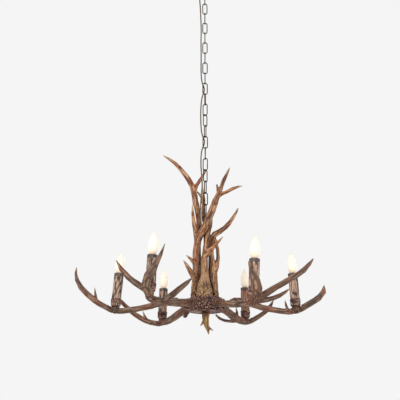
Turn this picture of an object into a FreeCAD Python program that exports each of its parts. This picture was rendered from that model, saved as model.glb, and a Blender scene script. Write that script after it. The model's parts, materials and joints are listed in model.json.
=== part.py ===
import FreeCAD, Part
import math
import os
import Sketcher

# Antler chandelier with six candle lamps on a chain. Millimetres, +Z up.
# The origin is the centre of the face that bolts to the ceiling, so the object hangs at negative z.
# Heights of the antlers are counted from the underside of the hub plate, the "hub level".

Vector = FreeCAD.Vector
Rotation = FreeCAD.Rotation
Placement = FreeCAD.Placement
UP = Vector(0, 0, 1)

doc = FreeCAD.newDocument("antler_chandelier")
sheet = doc.addObject("Spreadsheet::Sheet", "sheet")

SIZES = [
    # canopy and what fixes it to the ceiling
    ("canopy_dia", 110), ("canopy_floor_dia", 84), ("canopy_height", 30), ("canopy_wall", 1.2),
    ("canopy_rim", 4), ("bar_length", 96), ("bar_width", 18), ("bar_thick", 2.5),
    ("ceiling_hole_spacing", 76), ("ceiling_hole_dia", 5), ("stud_spacing", 54), ("stud_dia", 4),
    ("cap_nut_dia", 10), ("cap_nut_height", 9), ("bolt_hole_clearance", 0.2),
    # loop under the canopy
    ("loop_inner", 13), ("loop_wire", 4), ("loop_collar_dia", 18), ("loop_collar_height", 3),
    ("loop_thread_dia", 10), ("loop_thread_length", 14), ("loop_nut_flats", 15), ("loop_nut_height", 5),
    # chain
    ("link_length", 50), ("link_width", 20), ("link_wire", 3.6), ("link_gap", 0.25), ("chain_count", 20),
    # supply cable
    ("cable_dia", 4.6), ("cable_offset", 20), ("bush_bore", 12), ("bush_dia", 15), ("bush_flange_dia", 19),
    ("bush_flange", 1.5), ("block_length", 24), ("block_width", 14), ("block_height", 10), ("block_lift", 6),
    # stem and hub
    ("eye_inner", 16), ("eye_wire", 5), ("eye_collar_dia", 18), ("eye_collar_height", 8),
    ("stem_dia", 13), ("stem_bore", 9), ("stem_length", 308), ("stem_tail", 12), ("stem_clearance", 0.2),
    ("entry_height", 262), ("entry_length", 22), ("entry_bore_depth", 14), ("entry_dia", 11),
    ("entry_band_dia", 19), ("entry_offset", 13),
    ("plate_dia", 112), ("plate_thick", 3), ("hub_base_dia", 112), ("hub_dia", 128), ("hub_top_dia", 108),
    ("hub_top", 46), ("hub_cavity_dia", 88), ("hub_cavity_top", 36), ("arm_seat_radius", 68),
    ("arm_height", 22), ("arm_root_dia", 24), ("lobe_count", 12), ("lobe_dia", 18), ("lobe_ring_radius", 55),
    ("hub_nut_flats", 19), ("hub_nut_height", 8), ("plug_dia", 13), ("plug_depth", 8), ("plug_stand", 2),
    ("plug_azimuth", -36), ("plug_height", 24), ("arm_bolt_dia", 8), ("arm_bolt_depth", 22),
    ("arm_bolt_head_dia", 13), ("arm_bolt_head", 5), ("screw_dia", 5), ("screw_depth", 20),
    ("screw_head_dia", 9), ("screw_head", 3.5), ("connector_dia", 14), ("connector_length", 24),
    ("connector_offset", 20),
    # antlers
    ("antler_sides", 10), ("section_step", 26), ("seat_pad_dia", 25),
    # candles
    ("ring_radius", 297), ("seat_height", 18), ("cup_dia", 35), ("cup_foot_dia", 28), ("cup_height", 26.5),
    ("cup_wall", 2), ("cup_floor", 4), ("sleeve_dia", 26.5), ("sleeve_wall", 1.5), ("sleeve_length", 106),
    ("sleeve_gap", 0.3),
    ("nipple_dia", 10), ("nipple_bore", 7), ("nipple_depth", 14), ("nut_flats", 14), ("nut_height", 4),
    ("holder_dia", 22.4), ("holder_length", 52), ("holder_recess", 2), ("socket_dia", 14.8),
    ("socket_depth", 29), ("holder_grip", 6), ("lead_dia", 2.4), ("lead_gap", 1.2), ("lead_length", 40),
    # lamps
    ("cap_dia", 13.9), ("cap_length", 24), ("cap_wall", 0.5), ("cap_tip_dia", 8), ("cap_tip_height", 4),
    ("contact_dia", 4.8), ("contact_height", 1.6), ("contact_gap", 0.3), ("glass_dia", 33),
    ("glass_neck_dia", 14), ("glass_neck_height", 4), ("glass_length", 78), ("glass_wall", 1),
    ("glass_tip_dia", 1.6), ("glass_lift", 0.3), ("glass_foot", 6),
]
for row, (alias, value) in enumerate(SIZES, 1):
    sheet.set("A%d" % row, alias)
    sheet.set("B%d" % row, str(value))
    sheet.setAlias("B%d" % row, alias)
doc.recompute()


def number(formula):
    """The value of a formula that is written with the sheet's names."""
    found = sheet.evalExpression(formula)
    return float(getattr(found, "Value", found))


# Heights down the suspension, as formulas on the sheet's names.
CANOPY_FLOOR = "(-sheet.canopy_height)"
LOOP_MIDDLE = (
    "(-sheet.canopy_height - sheet.loop_collar_height - sheet.loop_inner / 2 - sheet.loop_wire * 0.75)"
)
LOOP_PIVOT = "(%s - (sheet.loop_inner + sheet.loop_wire) / 2)" % LOOP_MIDDLE
HALF_LINK = "((sheet.link_length - sheet.link_wire) / 2)"
TOP_LINK = "(%s + (sheet.link_wire + sheet.loop_wire) / 2 + sheet.link_gap - %s)" % (LOOP_PIVOT, HALF_LINK)
LINK_PITCH = "(sheet.link_length - 2 * sheet.link_wire - sheet.link_gap)"
LAST_LINK = "(%s - sheet.chain_count * %s)" % (TOP_LINK, LINK_PITCH)
EYE_MIDDLE = (
    "(%s - %s + (sheet.link_wire + sheet.eye_wire) / 2 + sheet.link_gap"
    " - (sheet.eye_inner + sheet.eye_wire) / 2)" % (LAST_LINK, HALF_LINK)
)
STEM_TOP = "(%s - sheet.eye_inner / 2 - sheet.eye_wire * 0.75)" % EYE_MIDDLE
HUB = "(%s - sheet.stem_length)" % STEM_TOP
HUB_LEVEL = number(HUB)
RING = number("sheet.ring_radius")


def above_hub(formula):
    return "(%s + %s)" % (HUB, formula)


# ---------------------------------------------------------------- ways of making a piece


def finish_label(thing, label):
    thing.Label = label
    return thing


def profile(body, name, plane_role, points):
    """A closed outline of straight sides whose corners are formulas, drawn on one of the body's own planes."""
    outline = body.newObject("Sketcher::SketchObject", name)
    plane = [part for part in body.Origin.OriginFeatures if part.Role == plane_role][0]
    outline.AttachmentSupport = [(plane, "")]
    outline.MapMode = "FlatFace"
    corners = [(number(across), number(along)) for across, along in points]
    count = len(corners)
    for corner in range(count):
        start, end = corners[corner], corners[(corner + 1) % count]
        outline.addGeometry(Part.LineSegment(Vector(*start, 0), Vector(*end, 0)))
    for side in range(count):
        outline.addConstraint(Sketcher.Constraint("Coincident", side, 2, (side + 1) % count, 1))
    for side, formulas in enumerate(points):
        for kind, formula, value in zip(("DistanceX", "DistanceY"), formulas, corners[side]):
            place = outline.addConstraint(Sketcher.Constraint(kind, -1, 1, side, 1, value))
            outline.setExpression("Constraints[%d]" % place, formula)
    return outline


def turned(name, points, label=None):
    """A PartDesign body turned about Z from (radius, height) corners."""
    body = doc.addObject("PartDesign::Body", name)
    outline = profile(body, name + "_outline", "XZ_Plane", points)
    solid = body.newObject("PartDesign::Revolution", name + "_turned")
    solid.Profile = outline
    solid.ReferenceAxis = (outline, ["V_Axis"])
    solid.Angle = 360
    doc.recompute()
    return finish_label(body, label) if label else body


def tube(outer, inner, low, high):
    """Corners of a tube's half section, from two diameters and two heights."""
    outside, inside = "(%s) / 2" % outer, "(%s) / 2" % inner
    return [(outside, low), (outside, high), (inside, high), (inside, low)]


def rod(name, dia, height, base=("0", "0", "0"), axis=UP):
    """A Part cylinder from its diameter, its length and its foot."""
    bar = doc.addObject("Part::Cylinder", name)
    bar.setExpression("Radius", "(%s) / 2" % dia)
    bar.setExpression("Height", height)
    bar.Placement = Placement(Vector(), Rotation(UP, axis))
    for letter, formula in zip("xyz", base):
        bar.setExpression("Placement.Base." + letter, formula)
    return bar


def hexagon(name, flats, height, base):
    """A six-sided prism across the given flats."""
    nut = doc.addObject("Part::Prism", name)
    nut.Polygon = 6
    nut.setExpression("Circumradius", "(%s) / sqrt(3)" % flats)
    nut.setExpression("Height", height)
    for letter, formula in zip("xyz", base):
        nut.setExpression("Placement.Base." + letter, formula)
    return nut


def cut(name, base, tools, label=None):
    """The base with each tool taken out of it."""
    for step, tool in enumerate(tools):
        taken = doc.addObject("Part::Cut", "%s_%d" % (name, step))
        taken.Base = base
        taken.Tool = tool
        base = taken
    return finish_label(base, label) if label else base


def joined(name, pieces, label=None):
    whole = doc.addObject("Part::MultiFuse", name)
    whole.Shapes = pieces
    return finish_label(whole, label) if label else whole


def grouped(name, pieces, label):
    """Separate solids of one kind that share a node."""
    group = doc.addObject("Part::Compound", name)
    group.Links = pieces
    return finish_label(group, label)


def feature(label, shape, place=None):
    """A piece whose shape is worked out in code."""
    piece = doc.addObject("Part::Feature", label)
    piece.Shape = shape
    piece.Placement = place or shape.Placement
    return finish_label(piece, label)


# ---------------------------------------------------------------- canopy

WALL = "sheet.canopy_wall"
RIM = "(sheet.canopy_dia / 2)"
FLOOR_EDGE = "(sheet.canopy_floor_dia / 2)"


def canopy():
    shell = turned("canopy_shell", [
        (RIM, "0"),
        (RIM, "-sheet.canopy_rim"),
        ("%s + (%s - %s) * 0.6" % (FLOOR_EDGE, RIM, FLOOR_EDGE), "-sheet.canopy_height * 0.72"),
        (FLOOR_EDGE, CANOPY_FLOOR),
        ("0", CANOPY_FLOOR),
        ("0", "%s + %s" % (CANOPY_FLOOR, WALL)),
        ("%s - %s / 2" % (FLOOR_EDGE, WALL), "%s + %s" % (CANOPY_FLOOR, WALL)),
        ("%s + (%s - %s) * 0.6 - %s" % (FLOOR_EDGE, RIM, FLOOR_EDGE, WALL), "-sheet.canopy_height * 0.72"),
        ("%s - %s" % (RIM, WALL), "-sheet.canopy_rim"),
        ("%s - %s" % (RIM, WALL), "0"),
    ])
    low = "%s - 1" % CANOPY_FLOOR
    deep = "%s + 2" % WALL
    stud_hole = "sheet.stud_dia + 2 * sheet.bolt_hole_clearance"
    holes = [
        rod("loop_hole", "sheet.loop_thread_dia + 2 * sheet.bolt_hole_clearance", deep, ("0", "0", low)),
        rod("cable_hole", "sheet.bush_dia + 2 * sheet.bolt_hole_clearance", deep,
            ("-sheet.cable_offset", "0", low)),
    ]
    for side, word in ((-1, "front"), (1, "back")):
        across = "%d * sheet.stud_spacing / 2" % side
        holes.append(rod("stud_hole_" + word, stud_hole, deep, ("0", across, low)))
    return cut("canopy", shell, holes, "canopy")


def crossbar():
    """A strap across the canopy's mouth, with two ceiling holes and two tapped holes."""
    strap = doc.addObject("Part::Box", "strap")
    strap.setExpression("Length", "sheet.bar_width")
    strap.setExpression("Width", "sheet.bar_length")
    strap.setExpression("Height", "sheet.bar_thick")
    strap.setExpression("Placement.Base.x", "-sheet.bar_width / 2")
    strap.setExpression("Placement.Base.y", "-sheet.bar_length / 2")
    strap.setExpression("Placement.Base.z", "-sheet.bar_thick")
    holes = []
    for side, word in ((-1, "front"), (1, "back")):
        for spacing, dia in (("ceiling_hole_spacing", "ceiling_hole_dia"), ("stud_spacing", "stud_dia")):
            across = "%d * sheet.%s / 2" % (side, spacing)
            base = ("0", across, "-sheet.bar_thick - 1")
            holes.append(rod("%s_%s" % (dia, word), "sheet." + dia, "sheet.bar_thick + 2", base))
    return cut("crossbar", strap, holes, "crossbar")


def canopy_fixings():
    """Two threaded studs hang from the strap, and a domed nut on each holds the canopy up."""
    studs, nuts = [], []
    reach = "sheet.canopy_height + sheet.cap_nut_height * 0.6"
    for side, word in ((-1, "front"), (1, "back")):
        across = "%d * sheet.stud_spacing / 2" % side
        foot = "-(%s)" % reach
        studs.append(rod("stud_" + word, "sheet.stud_dia", reach, ("0", across, foot)))
        dome = turned("cap_nut_" + word, [
            ("sheet.stud_dia / 2", CANOPY_FLOOR),
            ("sheet.cap_nut_dia / 2", CANOPY_FLOOR),
            ("sheet.cap_nut_dia / 2", "%s - sheet.cap_nut_height * 0.45" % CANOPY_FLOOR),
            ("sheet.cap_nut_dia * 0.3", "%s - sheet.cap_nut_height * 0.85" % CANOPY_FLOOR),
            ("0", "%s - sheet.cap_nut_height" % CANOPY_FLOOR),
            ("0", foot),
            ("sheet.stud_dia / 2", foot),
        ])
        dome.setExpression("Placement.Base.y", across)
        nuts.append(dome)
    grouped("studs", studs, "canopy_studs")
    grouped("domed_nuts", nuts, "canopy_cap_nuts")


def ring_with_collar(name, inner, wire, middle, collar_dia, collar_height, collar_low, turn):
    """A closed ring standing on edge, joined to a round collar."""
    ring = doc.addObject("Part::Torus", name + "_ring")
    ring.setExpression("Radius1", "(%s + %s) / 2" % (inner, wire))
    ring.setExpression("Radius2", "%s / 2" % wire)
    ring.Placement = Placement(Vector(), Rotation(UP, turn) * Rotation(Vector(1, 0, 0), 90))
    ring.setExpression("Placement.Base.z", middle)
    collar = rod(name + "_collar", collar_dia, collar_height, ("0", "0", collar_low))
    return ring, collar


def canopy_loop():
    """The loop that the chain hangs in, with a thread up through the canopy and its nut inside."""
    collar_low = "%s - sheet.loop_collar_height" % CANOPY_FLOOR
    ring, collar = ring_with_collar("loop", "sheet.loop_inner", "sheet.loop_wire", LOOP_MIDDLE,
                                    "sheet.loop_collar_dia", "sheet.loop_collar_height", collar_low, 0)
    thread = rod("loop_thread", "sheet.loop_thread_dia", "sheet.loop_thread_length + sheet.loop_collar_height",
                 ("0", "0", collar_low))
    joined("canopy_loop", [ring, collar, thread], "canopy_loop")
    inside = "%s + %s" % (CANOPY_FLOOR, WALL)
    nut = hexagon("loop_nut_blank", "sheet.loop_nut_flats", "sheet.loop_nut_height", ("0", "0", inside))
    bore = rod("loop_nut_bore", "sheet.loop_thread_dia", "sheet.loop_nut_height + 2",
               ("0", "0", inside + " - 1"))
    cut("loop_nut", nut, [bore], "loop_nut")


def cable_fittings():
    """The bush in the canopy's floor, and the terminal block on the cable's upper end."""
    low = "%s - sheet.bush_flange" % CANOPY_FLOOR
    inside = "%s + %s" % (CANOPY_FLOOR, WALL)
    bush = turned("bush", [
        ("sheet.bush_bore / 2", low),
        ("sheet.bush_flange_dia / 2", low),
        ("sheet.bush_flange_dia / 2", CANOPY_FLOOR),
        ("sheet.bush_dia / 2", CANOPY_FLOOR),
        ("sheet.bush_dia / 2", inside + " + sheet.bush_flange"),
        ("sheet.bush_bore / 2", inside + " + sheet.bush_flange"),
    ], "cable_bush")
    bush.setExpression("Placement.Base.x", "-sheet.cable_offset")
    block = doc.addObject("Part::Box", "terminal_block")
    block.setExpression("Length", "sheet.block_width")
    block.setExpression("Width", "sheet.block_length")
    block.setExpression("Height", "sheet.block_height")
    block.setExpression("Placement.Base.x", "-sheet.cable_offset - sheet.block_width / 2")
    block.setExpression("Placement.Base.y", "-sheet.block_length / 2")
    block.setExpression("Placement.Base.z", "%s" % CABLE_TOP)
    finish_label(block, "terminal_block")


# ---------------------------------------------------------------- chain

# How far each link is turned about the vertical, from the top down. Neighbours stay 60 degrees or more apart.
LINK_TURNS = [0, 90, 0, 90, 0, 90, 0, 90, 5, 80, -25, 38, 110, 12, 92, -24, 39, 112, 25, 108]
EYE_TURN = 20
TOP_LINK_TURN = 90


def one_link():
    """A welded oval link in the XZ plane, its middle at the origin."""
    bend = number("(sheet.link_width - sheet.link_wire) / 2")
    reach = number(HALF_LINK) - bend
    right, left = Vector(bend, 0, 0), Vector(-bend, 0, 0)
    lift, crown = Vector(0, 0, reach), Vector(0, 0, reach + bend)
    path = Part.Wire([
        Part.LineSegment(right - lift, right + lift).toShape(),
        Part.Arc(right + lift, crown, left + lift).toShape(),
        Part.LineSegment(left + lift, left - lift).toShape(),
        Part.Arc(left - lift, crown * -1, right - lift).toShape(),
    ])
    section = Part.Wire(Part.Circle(right - lift, UP, number("sheet.link_wire / 2")).toShape())
    return path.makePipeShell([section], True, True)


def chain():
    link = one_link()
    top = Placement(Vector(0, 0, number(TOP_LINK)), Rotation(UP, TOP_LINK_TURN))
    feature("top_link", link, top)
    links = []
    for step in range(int(number("sheet.chain_count"))):
        level = number(TOP_LINK) - (step + 1) * number(LINK_PITCH)
        hung = link.copy()
        hung.Placement = Placement(Vector(0, 0, level), Rotation(UP, LINK_TURNS[step % len(LINK_TURNS)]))
        links.append(hung)
    feature("chain_links", Part.Compound(links))


# ---------------------------------------------------------------- supply cable

CABLE_TOP = "(%s + %s + sheet.block_lift)" % (CANOPY_FLOOR, WALL)
ENTRY_FLOOR = above_hub("sheet.entry_height + sheet.entry_length - sheet.entry_bore_depth")

# The cable's route from the stem's side entry up beside the chain: x, y and the height above the hub level.
# It leans on the chain's left side, and goes through two of the links that face the front.
CABLE_ROUTE = [
    (-13, 0, 296), (-18, -3, 324), (-17, -5, 362), (-14, -8, 404), (-10, -11, 440), (-14, -7, 486),
    (-16, -1, 530), (-13, -7, 572), (-3, -6, 594), (-2.5, 6, 615), (-13, 6, 639), (-16, 1, 684),
    (-16, -2, 734), (-12, -7, 778), (-3, -6, 803), (-3, 5, 824), (-13, 5, 850), (-15, 1, 896),
    (-14, -2, 950), (-15, 1, 1004), (-14, -2, 1058), (-15, 2, 1110), (-17, -1, 1158), (-20, 0, 1202),
]


def rounded_path(points):
    """Straight runs joined by tangent arcs, each arc as large as its two runs allow."""
    edges, start, radii = [], points[0], []
    for place in range(1, len(points) - 1):
        before, corner, after = points[place - 1], points[place], points[place + 1]
        come, leave = corner - before, after - corner
        half_turn = come.getAngle(leave) / 2
        trim = 0.45 * min(come.Length, leave.Length)
        radii.append(trim / math.tan(half_turn))
        come.normalize()
        leave.normalize()
        first, last = corner - come * trim, corner + leave * trim
        inward = leave - come
        inward.normalize()
        middle = corner + inward * (radii[-1] / math.cos(half_turn) - radii[-1])
        edges.append(Part.LineSegment(start, first).toShape())
        edges.append(Part.Arc(first, middle, last).toShape())
        start = last
    edges.append(Part.LineSegment(start, points[-1]).toShape())
    return Part.Wire(edges), radii


def supply_cable():
    points = [Vector(-number("sheet.entry_offset"), 0, number(ENTRY_FLOOR))]
    points += [Vector(x, y, height + HUB_LEVEL) for x, y, height in CABLE_ROUTE]
    points.append(Vector(-number("sheet.cable_offset"), 0, number(CABLE_TOP)))
    path, radii = rounded_path(points)
    thick = number("sheet.cable_dia / 2")
    section = Part.Wire(Part.Circle(points[0], points[1] - points[0], thick).toShape())
    cable = path.makePipeShell([section], True, True)
    ideal = math.pi * thick ** 2 * path.Length
    print("cable: %.0f mm long, tightest bend %.0f mm, volume %.4f of its section times its length"
          % (path.Length, min(radii), cable.Volume / ideal))
    feature("supply_cable", cable)


# ---------------------------------------------------------------- stem and hub


def stem_parts():
    collar_low = "%s - sheet.eye_collar_height" % STEM_TOP
    ring, collar = ring_with_collar("eye", "sheet.eye_inner", "sheet.eye_wire", EYE_MIDDLE,
                                    "sheet.eye_collar_dia", "sheet.eye_collar_height", collar_low, EYE_TURN)
    eye = joined("eye_blank", [ring, collar])
    seat = rod("eye_seat", "sheet.stem_dia", "sheet.eye_collar_height / 2 + 1", ("0", "0", collar_low + " - 1"))
    cut("stem_eye", eye, [seat], "stem_eye")
    top = "%s - sheet.eye_collar_height / 2" % STEM_TOP
    stem = turned("stem_tube", tube("sheet.stem_dia", "sheet.stem_bore", above_hub("-sheet.stem_tail"), top))
    way = rod("stem_cable_way", "sheet.stem_bore * 0.6", "sheet.stem_dia",
              ("-sheet.stem_dia", "0", above_hub("sheet.entry_height + sheet.entry_length / 4")),
              Vector(1, 0, 0))
    cut("centre_stem", stem, [way], "centre_stem")


def cable_entry():
    """A band round the stem with a side pocket that takes the cable's lower end."""
    low = above_hub("sheet.entry_height")
    length = "sheet.entry_length"
    band = rod("entry_band", "sheet.entry_band_dia", length, ("0", "0", low))
    pocket = rod("entry_pocket", "sheet.entry_dia", length, ("-sheet.entry_offset", "0", low))
    whole = joined("entry_blank", [band, pocket])
    tools = [
        rod("entry_stem_hole", "sheet.stem_dia + 2 * sheet.stem_clearance", length + " + 2",
            ("0", "0", low + " - 1")),
        rod("entry_cable_hole", "sheet.cable_dia + 2 * sheet.stem_clearance", "sheet.entry_bore_depth + 1",
            ("-sheet.entry_offset", "0", ENTRY_FLOOR)),
        rod("entry_way", "sheet.cable_dia * 0.8", "sheet.entry_offset",
            ("-sheet.entry_offset", "0", above_hub("sheet.entry_height + sheet.entry_length / 4")),
            Vector(1, 0, 0)),
    ]
    cut("cable_entry", whole, tools, "cable_entry")


HUB_ROOT = "(%s + sheet.arm_height)" % HUB

# Where each trunk antler stands on the hub's top: x and y.
TRUNK_FEET = {
    "front": (-4, -27), "left": (-38, 0), "back_left": (-24, 26), "back_right": (18, 28), "right": (32, 4),
}
# Each arm's direction from the hub, in degrees from +X, and how far its candle seat is above seat_height.
ARMS = {
    "right": (0, 0), "far_right": (60, -2), "far_left": (122, -6),
    "left": (180, 0), "near_left": (236, 6), "near_right": (297.5, -10),
}


def outward(azimuth):
    return Vector(math.cos(math.radians(azimuth)), math.sin(math.radians(azimuth)), 0)


def spoke(name, dia, azimuth, start, end, height):
    """A rod that points straight out from the hub's axis, between two distances from it."""
    across = outward(azimuth)
    base = ("%f * (%s)" % (across.x, start), "%f * (%s)" % (across.y, start), height)
    return rod(name, dia, "(%s) - (%s)" % (end, start), base, across)


PLUG_HEIGHT = above_hub("sheet.plug_height")


def hub():
    """A lumpy hollow dome with a flat seat for each arm, drilled for its bolts, screws and plug."""
    low = above_hub("sheet.plate_thick")
    dome = turned("hub_dome", [
        ("0", above_hub("sheet.hub_cavity_top")),
        ("sheet.hub_cavity_dia / 2", above_hub("sheet.hub_cavity_top")),
        ("sheet.hub_cavity_dia / 2", low),
        ("sheet.hub_base_dia / 2", low),
        ("sheet.hub_dia / 2", above_hub("sheet.hub_top * 0.33")),
        ("sheet.hub_dia / 2", above_hub("sheet.hub_top * 0.62")),
        ("sheet.hub_top_dia / 2", above_hub("sheet.hub_top")),
        ("0", above_hub("sheet.hub_top")),
    ])
    lumps = []
    for lobe in range(int(number("sheet.lobe_count"))):
        across = outward((lobe + 0.5) * 360 / number("sheet.lobe_count"))
        base = ("%f * sheet.lobe_ring_radius" % across.x, "%f * sheet.lobe_ring_radius" % across.y, low)
        height = "(sheet.hub_top * 0.9 - sheet.plate_thick)" if lobe % 2 else "(sheet.hub_top * 0.75)"
        lumps.append(rod("lobe_%d" % lobe, "sheet.lobe_dia", height, base))
    plug_azimuth = number("sheet.plug_azimuth")
    behind_wall, inside_wall = "sheet.hub_cavity_dia / 2 + 2", "sheet.hub_cavity_dia / 2 - 4"
    for word, (azimuth, _) in ARMS.items():
        lumps.append(spoke("boss_" + word, "sheet.arm_root_dia + 4", azimuth, behind_wall,
                           "sheet.arm_seat_radius", HUB_ROOT))
    lumps.append(spoke("plug_boss", "sheet.plug_dia + 6", plug_azimuth, behind_wall,
                       "sheet.arm_seat_radius", PLUG_HEIGHT))
    blank = joined("hub_blank", [dome] + lumps)
    tools = [rod("hub_stem_hole", "sheet.stem_dia + 2 * sheet.stem_clearance", "sheet.hub_top",
                 ("0", "0", above_hub("sheet.hub_cavity_top / 2")))]
    for word, (azimuth, _) in ARMS.items():
        tools.append(spoke("bolt_hole_" + word, "sheet.arm_bolt_dia + 2 * sheet.bolt_hole_clearance", azimuth,
                           inside_wall, "sheet.arm_seat_radius + 1", HUB_ROOT))
    for word, (x, y) in TRUNK_FEET.items():
        tools.append(rod("screw_hole_" + word, "sheet.screw_dia + 2 * sheet.bolt_hole_clearance",
                         "sheet.hub_top", (str(x), str(y), above_hub("sheet.hub_cavity_top / 2"))))
    plug_foot = "sheet.arm_seat_radius - sheet.plug_depth"
    tools.append(spoke("plug_hole", "sheet.plug_dia", plug_azimuth, plug_foot,
                       "sheet.arm_seat_radius + 1", PLUG_HEIGHT))
    cut("hub_casting", blank, tools, "hub_casting")
    finish_label(spoke("plug", "sheet.plug_dia", plug_azimuth, plug_foot,
                       "sheet.arm_seat_radius + sheet.plug_stand", PLUG_HEIGHT), "hub_plug")


def hub_fixings():
    turned("plate", [
        ("(sheet.stem_dia / 2 + sheet.stem_clearance)", HUB),
        ("sheet.plate_dia / 2 - 1", HUB),
        ("sheet.plate_dia / 2", above_hub("1")),
        ("sheet.plate_dia / 2", above_hub("sheet.plate_thick")),
        ("(sheet.stem_dia / 2 + sheet.stem_clearance)", above_hub("sheet.plate_thick")),
    ], "hub_plate")
    under = above_hub("sheet.hub_cavity_top - sheet.hub_nut_height")
    nut = hexagon("stem_nut_blank", "sheet.hub_nut_flats", "sheet.hub_nut_height", ("0", "0", under))
    bore = rod("stem_nut_bore", "sheet.stem_dia", "sheet.hub_nut_height + 2", ("0", "0", under + " - 1"))
    cut("stem_nut", nut, [bore])
    bolts = []
    flat = "sqrt((sheet.hub_cavity_dia / 2) ^ 2 - (sheet.arm_bolt_head_dia / 2) ^ 2)"
    head_start = "%s - sheet.arm_bolt_head" % flat
    for word, (azimuth, _) in ARMS.items():
        head = spoke("bolt_head_" + word, "sheet.arm_bolt_head_dia", azimuth, head_start, flat, HUB_ROOT)
        shank = spoke("bolt_shank_" + word, "sheet.arm_bolt_dia", azimuth, head_start,
                      "sheet.arm_seat_radius + sheet.arm_bolt_depth", HUB_ROOT)
        bolts.append(joined("arm_bolt_" + word, [head, shank]))
    for word, (x, y) in TRUNK_FEET.items():
        low = above_hub("sheet.hub_cavity_top - sheet.screw_head")
        reach = "sheet.screw_head + sheet.hub_top - sheet.hub_cavity_top + sheet.screw_depth"
        head = rod("screw_head_" + word, "sheet.screw_head_dia", "sheet.screw_head", (str(x), str(y), low))
        shank = rod("screw_shank_" + word, "sheet.screw_dia", reach, (str(x), str(y), low))
        bolts.append(joined("trunk_screw_" + word, [head, shank]))
    grouped("antler_bolt_set", bolts, "antler_bolts")


def wire_connectors():
    """Three screw-on caps that join the wires of the six lamps, lying on the plate inside the hub."""
    caps = []
    middle = above_hub("sheet.plate_thick + sheet.connector_dia / 2")
    for word, side in (("left", -1), ("right", 1)):
        base = ("%d * sheet.connector_offset" % side, "-sheet.connector_length / 2", middle)
        caps.append(rod("connector_" + word, "sheet.connector_dia", "sheet.connector_length", base,
                        Vector(0, 1, 0)))
    base = ("-sheet.connector_length / 2", "sheet.connector_offset + sheet.connector_dia / 2", middle)
    caps.append(rod("connector_back", "sheet.connector_dia", "sheet.connector_length", base, Vector(1, 0, 0)))
    grouped("connector_set", caps, "wire_connectors")


# ---------------------------------------------------------------- antlers

SIDES = int(number("sheet.antler_sides"))
STEP = number("sheet.section_step")


def horn(stations, square_start=None, side_first=Vector(1, 0, 0)):
    """A tapering, bending limb: many-sided sections along a smooth line through the stations, lofted in order.

    A station is x, y, z, half thickness and, where the limb is flat, how much wider it is than thick.
    """
    points = [Vector(*station[:3]) for station in stations]
    line = Part.BSplineCurve()
    if square_start:
        line.interpolate(Points=points, InitialTangent=square_start, FinalTangent=points[-1] - points[-2])
    else:
        line.interpolate(Points=points)
    knots = [line.parameter(point) for point in points]
    sections = []
    across = side_first
    for place in range(len(points) - 1):
        pieces = max(1, round((points[place + 1] - points[place]).Length / STEP))
        last = place == len(points) - 2
        for piece in range(pieces + (1 if last else 0)):
            share = piece / pieces
            spot = knots[place] + (knots[place + 1] - knots[place]) * share
            here, along = line.value(spot), Vector(*line.tangent(spot)[0])
            across = across - along * across.dot(along)
            across.normalize()
            other = along.cross(across)
            near, far = stations[place], stations[place + 1]
            half = near[3] + (far[3] - near[3]) * share
            wide_near, wide_far = (near[4] if len(near) > 4 else 1), (far[4] if len(far) > 4 else 1)
            wide = half * (wide_near + (wide_far - wide_near) * share)
            corners = []
            for side in range(SIDES):
                turn = 2 * math.pi * side / SIDES
                corners.append(here + across * (wide * math.cos(turn)) + other * (half * math.sin(turn)))
            sections.append(Part.makePolygon(corners + corners[:1]))
    return Part.makeLoft(sections, True, True)


def one_solid(label, limbs, cuts):
    shape = limbs[0].fuse(limbs[1:]) if len(limbs) > 1 else limbs[0]
    for tool in cuts:
        shape = shape.cut(tool)
    solids = shape.Solids
    if len(solids) != 1:
        raise RuntimeError("%s came out as %d solids" % (label, len(solids)))
    return feature(label, solids[0])


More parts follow.
